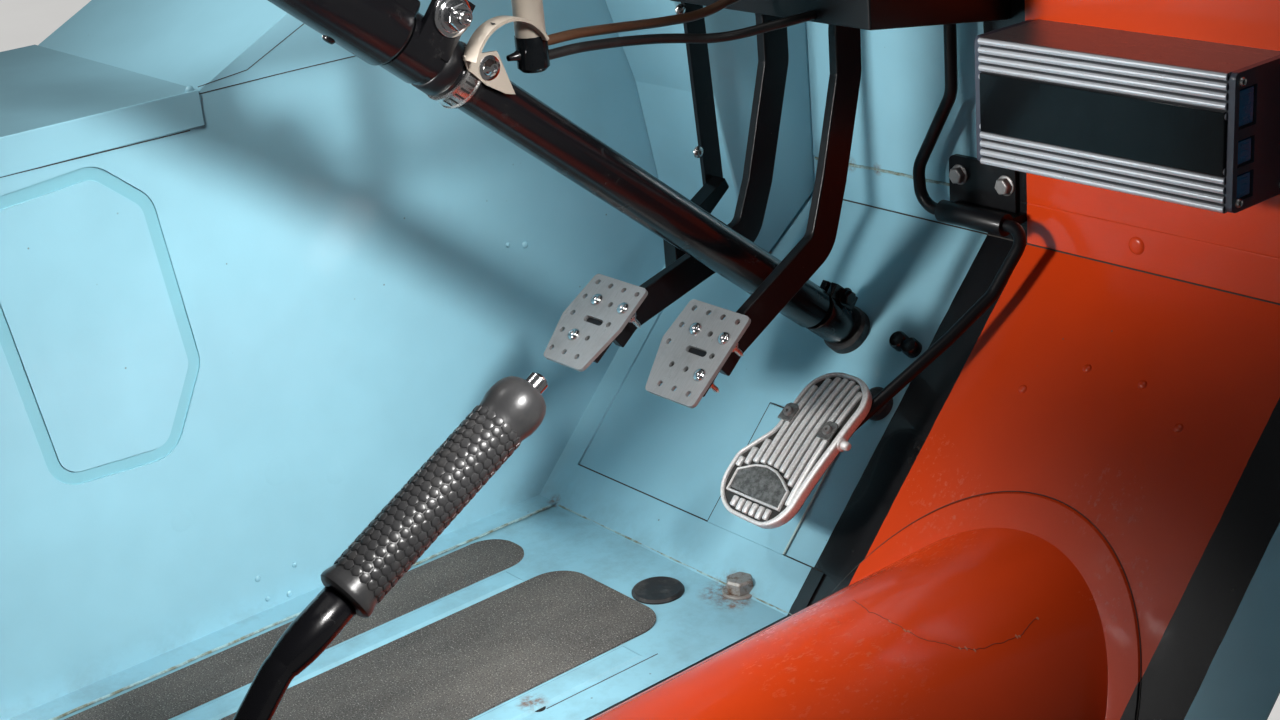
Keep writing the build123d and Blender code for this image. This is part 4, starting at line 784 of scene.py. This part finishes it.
# Throttle tread: plate, rim and ribs on its curved face, tabs with screws, lug and blank plaque
TREAD_OUTLINE = [  # (x, distance up the tread, corner radius)
    (-27.0, 67.5, 24.0), (33.0, 67.5, 26.0), (31.0, 10.0, 80.0), (24.0, -62.0, 26.0), (-48.0, -60.0, 26.0),
    (-46.0, -18.0, 16.0), (-27.0, 8.0, 20.0),
]
PLAQUE = [
    (-38.0, -46.0), (15.0, -46.0), (15.0, -31.0), (4.0, -24.0), (-4.0, -20.5), (-14.0, -19.5), (-24.0, -21.5),
    (-29.0, -24.0), (-38.0, -29.0),
]
TREAD_THICK = 8.0
RIB_PITCH, RIB_WIDTH, RIB_DEPTH = 6.6, 4.5, 2.4
RIB_END = 1.1
RIB_TAPER = [(0.0, 0.55), (0.35, 0.85), (RIB_END, 1.0)]  # (distance from the rib's end, share of its height)


def rounded(corners, pitch):
    """A closed outline with rounded corners, as points not further apart than the pitch."""
    runs = []
    for i, (x, y, radius) in enumerate(corners):
        corner = Vector((x, y))
        back = (Vector(corners[i - 1][:2]) - corner).normalized()
        ahead = (Vector(corners[(i + 1) % len(corners)][:2]) - corner).normalized()
        half = back.angle(ahead) / 2
        middle = corner + (back + ahead).normalized() * radius / math.sin(half)
        first = corner + back * radius / math.tan(half) - middle
        last = corner + ahead * radius / math.tan(half) - middle
        start = math.atan2(first.y, first.x)
        sweep = (math.atan2(last.y, last.x) - start + math.pi) % (2 * math.pi) - math.pi
        count = max(2, round(abs(sweep) * radius / pitch))
        for k in range(count + 1):
            angle = start + sweep * k / count
            runs.append((middle.x + radius * math.cos(angle), middle.y + radius * math.sin(angle)))
    return stepped(runs + runs[:1], pitch)[:-1]


def inset(outline, amount):
    """The outline, which turns clockwise, moved inwards."""
    moved = []
    for i, (x, y) in enumerate(outline):
        before, after = outline[i - 1], outline[(i + 1) % len(outline)]
        run = Vector((after[0] - before[0], after[1] - before[1])).normalized()
        moved.append((x + run.y * amount, y - run.x * amount))
    return moved


def reach_across(outline, level, axis):
    """Lowest and highest value of the outline on its other axis, where it crosses a level of this axis."""
    met = []
    for i, first in enumerate(outline):
        last = outline[(i + 1) % len(outline)]
        if (first[axis] - level) * (last[axis] - level) <= 0 and first[axis] != last[axis]:
            share = (level - first[axis]) / (last[axis] - first[axis])
            met.append(first[1 - axis] + share * (last[1 - axis] - first[1 - axis]))
    return (min(met), max(met)) if met else None


def tread_point(x, along, lift):
    """A point over the tread's curved face, in the row frame."""
    return on_tread(x, along, lift).translation


def tread_slab(outline, low, high, steps):
    """The outline filled, between two heights over the tread's curved face."""
    first, last = min(up for _, up in outline) + 0.02, max(up for _, up in outline) - 0.02
    rings = []
    for step in range(steps + 1):
        up = first + (last - first) * step / steps
        left, right = reach_across(outline, up, 1)
        section = [(left, low), (left, high), (right, high), (right, low)]
        rings.append([tread_point(x, up, lift) for x, lift in section])
    return Shape().rings(rings, Matrix.Identity(4))


def tread_frame(outline, sections):
    """A section for each point of the outline, as (distance inwards, height) rows, joined all round."""
    rings = []
    for (x, up), (in_x, in_up), section in zip(outline, inset(outline, 1.0), sections):
        rings.append([
            tread_point(x + (in_x - x) * deep, up + (in_up - up) * deep, lift) for deep, lift in section
        ])
    return Shape().rings(rings + rings[:1], Matrix.Identity(4), close_ends=False)


tread_edge = rounded(TREAD_OUTLINE, 2.0)
# The plate under the ribs takes the dark finish
plate = tread_slab(inset(tread_edge, 0.4), -TREAD_THICK + 0.2, -RIB_DEPTH, 90)
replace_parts(show("tread_plate", plate, "cast_tread", "throttle", material=TREAD_GROOVE_DARK), "throttle_pad")
rim_sections = []
for x, _ in tread_edge:
    wide = 3.0 + 2.0 * min(1.0, max(0.0, (x - 8.0) / 14.0))
    rim_sections.append([
        (0.9, -TREAD_THICK), (0.0, -TREAD_THICK + 0.9), (0.0, -1.3), (0.35, -0.45), (1.1, 0.0),
        (wide - 1.0, 0.0), (wide - 0.3, -0.35), (wide, -1.1), (wide, -RIB_DEPTH - 0.2), (wide, -TREAD_THICK),
    ])
show("tread_rim", tread_frame(tread_edge, rim_sections), "cast_tread", "throttle", sharp=50)

half = RIB_WIDTH / 2
RIB_SECTION = [
    (-half, -RIB_DEPTH - 0.2), (-half, -1.0), (-half + 0.22, -0.45), (-half + 0.8, -0.02), (0.0, 0.10),
    (half - 0.8, -0.02), (half - 0.22, -0.45), (half, -1.0), (half, -RIB_DEPTH - 0.2),
]
ribs = Shape()
rib_room = inset(tread_edge, 3.6)
for index in range(-7, 6):
    middle = index * RIB_PITCH
    levels = (middle - half, middle, middle + half)
    ends = [reach_across(rib_room, level, 0) for level in levels]
    if None in ends:
        continue
    low, high = max(end[0] for end in ends) + 0.5, min(end[1] for end in ends) - 0.5
    spans = [(low, high)]
    crossed = [met for met in (reach_across(PLAQUE, level, 0) for level in levels) if met]
    if crossed:
        spans = [(low, min(met[0] for met in crossed) - 1.6), (max(met[1] for met in crossed) + 1.3, high)]
    for first, last in spans:
        if last - first < 4.0:
            continue
        full = last - first - 2 * RIB_END
        count = max(1, round(full / 4.0))
        stops = [(first + far, share) for far, share in RIB_TAPER]
        stops += [(first + RIB_END + full * k / count, 1.0) for k in range(1, count + 1)]
        stops += [(last - far, share) for far, share in RIB_TAPER[1::-1]]
        rings = []
        for up, share in stops:
            narrow = 0.6 + 0.4 * share
            rings.append([
                tread_point(middle + across * narrow, up, (lift + RIB_DEPTH) * share - RIB_DEPTH)
                for across, lift in RIB_SECTION
            ])
        ribs.rings(rings, Matrix.Identity(4))
show("tread_ribs", ribs, "cast_tread", "throttle", sharp=50)

TAB = [(-6.2, -7.0), (6.2, -7.0), (6.2, 5.0), (3.4, 7.4), (-3.4, 7.4), (-6.2, 5.0)]
TAB_THICK = 1.6
tabs, tab_screws = Shape(), Shape()
for x, along in [(-23.9, 23.0), (17.6, 19.6)]:
    spot = on_tread(x, along, -0.9)
    tabs.prism(TAB, 0, TAB_THICK, spot)
    button_screw(tab_screws, spot @ Matrix.Translation((0, 0, TAB_THICK)), 3.8, 2.0, 2.0)
show("tread_tabs", tabs, "cast_tread", "throttle", bevel=0.5, material=PLAQUE_CAST)
show("tread_tab_screws", tab_screws, "bright_steel", "throttle", sharp=40, material=GREY_STEEL)
lug_spot = on_tread(29.5, 15.5, -5.0) @ Matrix.Rotation(math.pi / 2, 4, "Y")
lug = Shape().lathe([(4.8, 0), (4.8, 2.4), (3.4, 3.4), (3.2, 6.4), (2.6, 8.0), (1.6, 8.6)], lug_spot, 24)
show("tread_lug", lug, "cast_tread", "throttle", sharp=50)

BORDER = [(-0.3, -RIB_DEPTH), (-0.1, -0.5), (0.3, 0.0), (1.1, 0.0), (1.5, -0.4), (1.6, -RIB_DEPTH)]
plaque_edge = stepped(PLAQUE + PLAQUE[:1], 3.0)[:-1][::-1]
border = tread_frame(plaque_edge, [BORDER] * len(plaque_edge))
show("tread_plaque_border", border, "cast_tread", "throttle", sharp=60)
field = tread_slab(inset(plaque_edge, 1.2), -RIB_DEPTH, -0.9, 12)
show("tread_plaque", field, "cast_tread", "throttle", material=PLAQUE_CAST)

# Bolts of the throttle's bracket and the strap's screws
bracket_bolts = Shape()
for x, z in [(-175.7, 266.3), (-132.4, 265.4)]:
    hex_bolt(bracket_bolts, on_bulkhead(x, z, 4.0), 11.0, 5.0, 7.6, 1.2, 0.2)
show("throttle_bracket_bolts", bracket_bolts, "bright_steel", bevel=0.4, material=GREY_STEEL)
strap_left = layout_box("switch_box")[0].x
strap_screws = Shape()
for y, z in [(89.8, 395.4), (96.8, 287.0)]:
    button_screw(strap_screws, pose((strap_left, y, z), RIGHT, UP), 4.6, 2.6, 2.6)
show("strap_screws", strap_screws, "bright_steel", sharp=40)

# Amplifier: blank glossy band before the fins, small screws and blue sockets with pins
AMP_LEFT = -110.0
AMP_FACE = 157.4
BAND_ENDS = (-104.0, 85.8)
BAND_LOW, BAND_HIGH, BAND_THICK = 323.4, 363.4, 2.8
SOCKETS = [  # (back from the fins, up from the case's foot, width, height)
    (16.0, 64.0, 18.0, 25.0), (15.5, 36.5, 17.0, 17.0), (15.5, 15.0, 17.0, 17.0),
]
SOCKET_RIM = 1.6
amp_low, amp_high = layout_box("amp_end_right")
fin_front = layout_box("amp_case")[0].y
band_outline = [
    (BAND_ENDS[0], BAND_LOW), (BAND_ENDS[1], BAND_LOW), (BAND_ENDS[1], BAND_HIGH), (BAND_ENDS[0], BAND_HIGH),
]
amp_band = Shape().prism(band_outline, 0, BAND_THICK, pose((0, AMP_FACE, 0), REARWARD, UP))
show("amp_band", amp_band, "black_plastic", bevel=0.4)
amp_screws = Shape()
for y, z in [(163.5, 306.0), (163.5, 381.0), (210.0, 306.0), (210.0, 381.0)]:
    button_screw(amp_screws, pose((amp_high.x - 0.1, y, z), RIGHT, UP), 3.0, 1.6, 1.8)
    button_screw(amp_screws, pose((AMP_LEFT + 0.1, y, z), (-1, 0, 0), UP), 3.0, 1.6, 1.8)
show("amp_screws", amp_screws, "bright_steel", sharp=40)
sockets = Shape()
for back, up, wide, tall in SOCKETS:
    spot = pose((amp_high.x - 3.0, fin_front + back, amp_low.z + up), RIGHT, UP)
    half_wide, half_tall = wide / 2 - SOCKET_RIM, tall / 2 - SOCKET_RIM
    sockets.prism(block(half_wide, half_tall), -0.3, 1.8, spot)
    for step in (-1, 0, 1):
        pin = spot @ Matrix.Translation((0, step * half_tall * 0.6, 1.6))
        sockets.prism(block(half_wide * 0.5, 0.9), 0, 0.7, pin)
show("amp_sockets", sockets, "dark_plastic", bevel=0.3, material=SOCKET_BLUE)

# Handbrake grip: rounded rubber sleeve with rows of six-sided bosses, and its tapered neck
GRIP_ANGLE = math.radians(29.2)
GRIP_FOOT = (0, -427.0, 246.0)
GRIP_AXIS = (0, math.cos(GRIP_ANGLE), math.sin(GRIP_ANGLE))
BOSS_PITCH = 4.785
BOSS_FROM, BOSS_TO = 12.5, 115.0
BOSS_AROUND = 17
BOSS_ROWS = [(1.0, 0), (0.97, 0.55), (0.80, 0.80), (0.35, 0.92)]
grip_frame = pose(GRIP_FOOT, GRIP_AXIS, (0, -math.sin(GRIP_ANGLE), math.cos(GRIP_ANGLE)))
sleeve = Shape().lathe([
    (9.0, 0.3), (12.6, 0.0), (13.8, 0.5), (15.3, 1.8), (15.5, 3.2), (15.3, 5.0), (14.3, 8.2), (13.9, 10.0),
    (13.9, 116.0), (14.4, 119.0), (15.4, 123.0), (15.5, 127.0), (15.2, 130.5), (14.0, 134.6), (12.2, 137.4),
    (9.4, 139.4), (7.6, 140.0), (6.0, 140.0),
], grip_frame, 56)
for row in range(math.ceil((BOSS_TO - BOSS_FROM) / BOSS_PITCH)):
    for i in range(BOSS_AROUND):
        turn = 2 * math.pi * (i + 0.5 * (row % 2)) / BOSS_AROUND
        spot = grip_frame @ Matrix.Translation((0, 0, BOSS_FROM + row * BOSS_PITCH))
        spot = spot @ Matrix.Rotation(turn, 4, "Z") @ Matrix.Translation((13.7, 0, 0))
        sleeve.hexagon(4.7, BOSS_ROWS, spot @ Matrix.Rotation(math.pi / 2, 4, "Y"))
grip = show("handbrake_grip_sleeve", sleeve, "black_rubber", "handbrake", sharp=32, material=GRIP_RUBBER)
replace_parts(grip, "handbrake_grip")
NECK = [(7.9, -42.0), (8.5, -40.0), (9.8, -31.0), (10.2, -24.0), (10.0, -1.0), (8.2, 0.5)]
show("handbrake_neck", Shape().lathe(NECK, grip_frame, 40), "gloss_black", "handbrake", sharp=50)

# Tunnel: cracked paint along the bend, with flakes
CRACK = [  # (x, y, z)
    (-31.6, -57, 79.8), (-8.2, -65.9, 83.7), (21, -65.9, 82.2), (34.3, -62.9, 79.1), (49.7, -48.9, 73.4),
    (55, -41.5, 70.9), (58.6, -22.9, 69), (60.7, -6.8, 67.8), (56.8, 14.1, 70),
]
FLAKES_AT = (14, 18, 19, 30, 31, 33, 43, 44, 56)
LEAF = [(1, 0), (0.3, 1), (-1, 0.4), (-0.6, -1), (0.5, -0.7)]
random.seed(9)
crack_line = []
for x, y, _ in stepped(CRACK, 3.0):
    x, y = x + random.uniform(-0.7, 0.7), y + random.uniform(-0.7, 0.7)
    crack_line.append((x, y, math.sqrt(TUNNEL_R**2 - x * x) - TUNNEL_DROP))
seam("tunnel_crack", crack_line, 0.26, UP, CRACKED, "orange_paint")
flakes = Shape()
for index in FLAKES_AT:
    x, y, z = crack_line[min(index, len(crack_line) - 1)]
    wide, long = random.uniform(1.0, 1.9), random.uniform(0.5, 0.9)
    leaf = [(wide * across, long * along) for across, along in LEAF]
    flakes.prism(leaf, -0.1, 0.35, pose((x, y, z), (x, 0, z + TUNNEL_DROP), (0.3, 1, 0)))
show("tunnel_flakes", flakes, "orange_paint", material=FLAKED)

# Spots of weld on the outside of the wheel arch and the bulkhead, found by looking at each face square on
WELD_PITCH, WELD_INSET = 48.0, 13.0
WELD_ROWS = [(3.4, -0.2), (3.4, 0.1), (2.38, 0.35), (1.4, 0.15), (0.3, 0.12)]
SQUARE_ON = 0.9
STAND_OFF, LOOK_REACH = 0.020, 0.060
welds = Shape()
for node_name, axis, way in [("wheel_arch", 1, -1), ("wheel_arch", 0, 1), ("bulkhead", 1, -1)]:
    low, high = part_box(node_name)
    across = 1 - axis
    ahead = Vector((0, 0, 0))
    ahead[axis] = way
    run = (high[across] - low[across]) / MM - 2 * WELD_INSET
    count = max(1, round(run / WELD_PITCH))
    for level in (low.z + WELD_INSET * MM, high.z - WELD_INSET * MM):
        for step in range(count + 1):
            start = Vector((0, 0, level))
            start[across] = low[across] + (WELD_INSET + run * step / count) * MM
            start[axis] = (low if way > 0 else high)[axis] - STAND_OFF * way
            met, spot, facing, _ = frame["nodes"][node_name].ray_cast(start, ahead, distance=LOOK_REACH)
            if met and abs(facing[axis]) > SQUARE_ON:
                welds.lathe(WELD_ROWS, pose((spot - ORIGIN) / MM, facing, UP), 20)
show("outer_welds", welds, "blue_paint", sharp=60)

# Studio: pale floor, soft lamps and the camera at the photograph's place
FLOOR_REACH = 16.0
FLOOR_GLOW = 0.75
GLOSSY_SHARE = 0.2
WORLD_LEVEL = 0.07
LAMP_COLOUR = (1.0, 0.99, 0.97)
LAMPS = {  # name: (place, target, radius of the lamp, angle of its cone, watts)
    "key": ((570, -228, 794), (-447, -330, 90), 0.08, 42, 88.0),
    "inner": ((-260, -450, 880), (-100, -110, 60), 0.08, 31, 36.0),
    "front": ((-330, -1000, 560), (-140, 217, 400), 0.08, 30, 66.0),
    "low": ((-330, -1000, 520), (-215, 30, 85), 0.08, 17, 42.0),
    "side": ((-100, -700, 1100), (-560, -60, 430), 0.15, 34, 58.0),
    "overhead": ((-100, -100, 1500), (-100, -100, 0), 0.50, 80, 5.0),
    "behind": ((-150, 1700, 380), (-150, 260, 200), 0.30, 55, 70.0),
    "outside": ((-2000, -150, 340), (-640, -150, 180), 0.30, 55, 60.0),
}
CAMERA_PLACE = (743.24, -816.0, 680.0)
CAMERA_RIGHT = Vector((0.63986, 0.76392, -0.08347))
CAMERA_UP = Vector((-0.23256, 0.29602, 0.92640))
CAMERA_LENS, CAMERA_SENSOR = 54.63, 36.0


def stand(name, data):
    """The object of that data, in the scene."""
    thing = bpy.data.objects.new(name, data)
    bpy.context.scene.collection.objects.link(thing)
    return thing


floor_mesh = bpy.data.meshes.new("studio_floor")
corners = [(x * FLOOR_REACH, y * FLOOR_REACH, cad_box[0].z) for x, y in block(1, 1)]
floor_mesh.from_pydata(corners, [], [(0, 1, 2, 3)])
stand("studio_floor", floor_mesh)
s = Surface("studio_floor", roughness=0.8, specular=0.2)
ripple = s.span(s.noise(3), 0.3, 0.7)
pale = s.mix(ripple, (0.74, 0.73, 0.71, 1), (0.78, 0.77, 0.75, 1))
s.colour(s.mix(ripple, (0.38, 0.375, 0.365, 1), (0.40, 0.395, 0.385, 1)))
# The floor shows pale to the camera and in gloss, and sheds no more light on the object
seen = s.add("ShaderNodeLightPath").outputs
shown = s.math("MAXIMUM", seen["Is Camera Ray"], s.math("MULTIPLY", seen["Is Glossy Ray"], GLOSSY_SHARE))
s.set(s.shader, {"Emission Color": pale, "Emission Strength": s.math("MULTIPLY", shown, FLOOR_GLOW)})
floor_mesh.materials.append(s.material)

world = bpy.data.worlds.new("studio")
world.use_nodes = True
world.node_tree.nodes["Background"].inputs["Color"].default_value = (0.80, 0.86, 0.92, 1)
world.node_tree.nodes["Background"].inputs["Strength"].default_value = WORLD_LEVEL
bpy.context.scene.world = world

for lamp_name, (place, target, radius, cone, watts) in LAMPS.items():
    light = bpy.data.lights.new(lamp_name, "SPOT")
    light.energy = watts
    light.color = LAMP_COLOUR
    light.shadow_soft_size = radius
    light.spot_size = math.radians(cone)
    light.spot_blend = 1.0
    lamp = stand(lamp_name, light)
    lamp.location = at(*place)
    lamp.rotation_euler = (at(*target) - at(*place)).to_track_quat("-Z", "Y").to_euler()

view = bpy.data.cameras.new("camera")
view.sensor_width = CAMERA_SENSOR
view.lens = CAMERA_LENS
camera = stand("camera", view)
turn = Matrix((CAMERA_RIGHT, CAMERA_UP, CAMERA_RIGHT.cross(CAMERA_UP))).transposed().to_4x4()
camera.matrix_world = Matrix.Translation(at(*CAMERA_PLACE)) @ turn
bpy.context.scene.camera = camera
bpy.context.scene.view_settings.view_transform = "Standard"
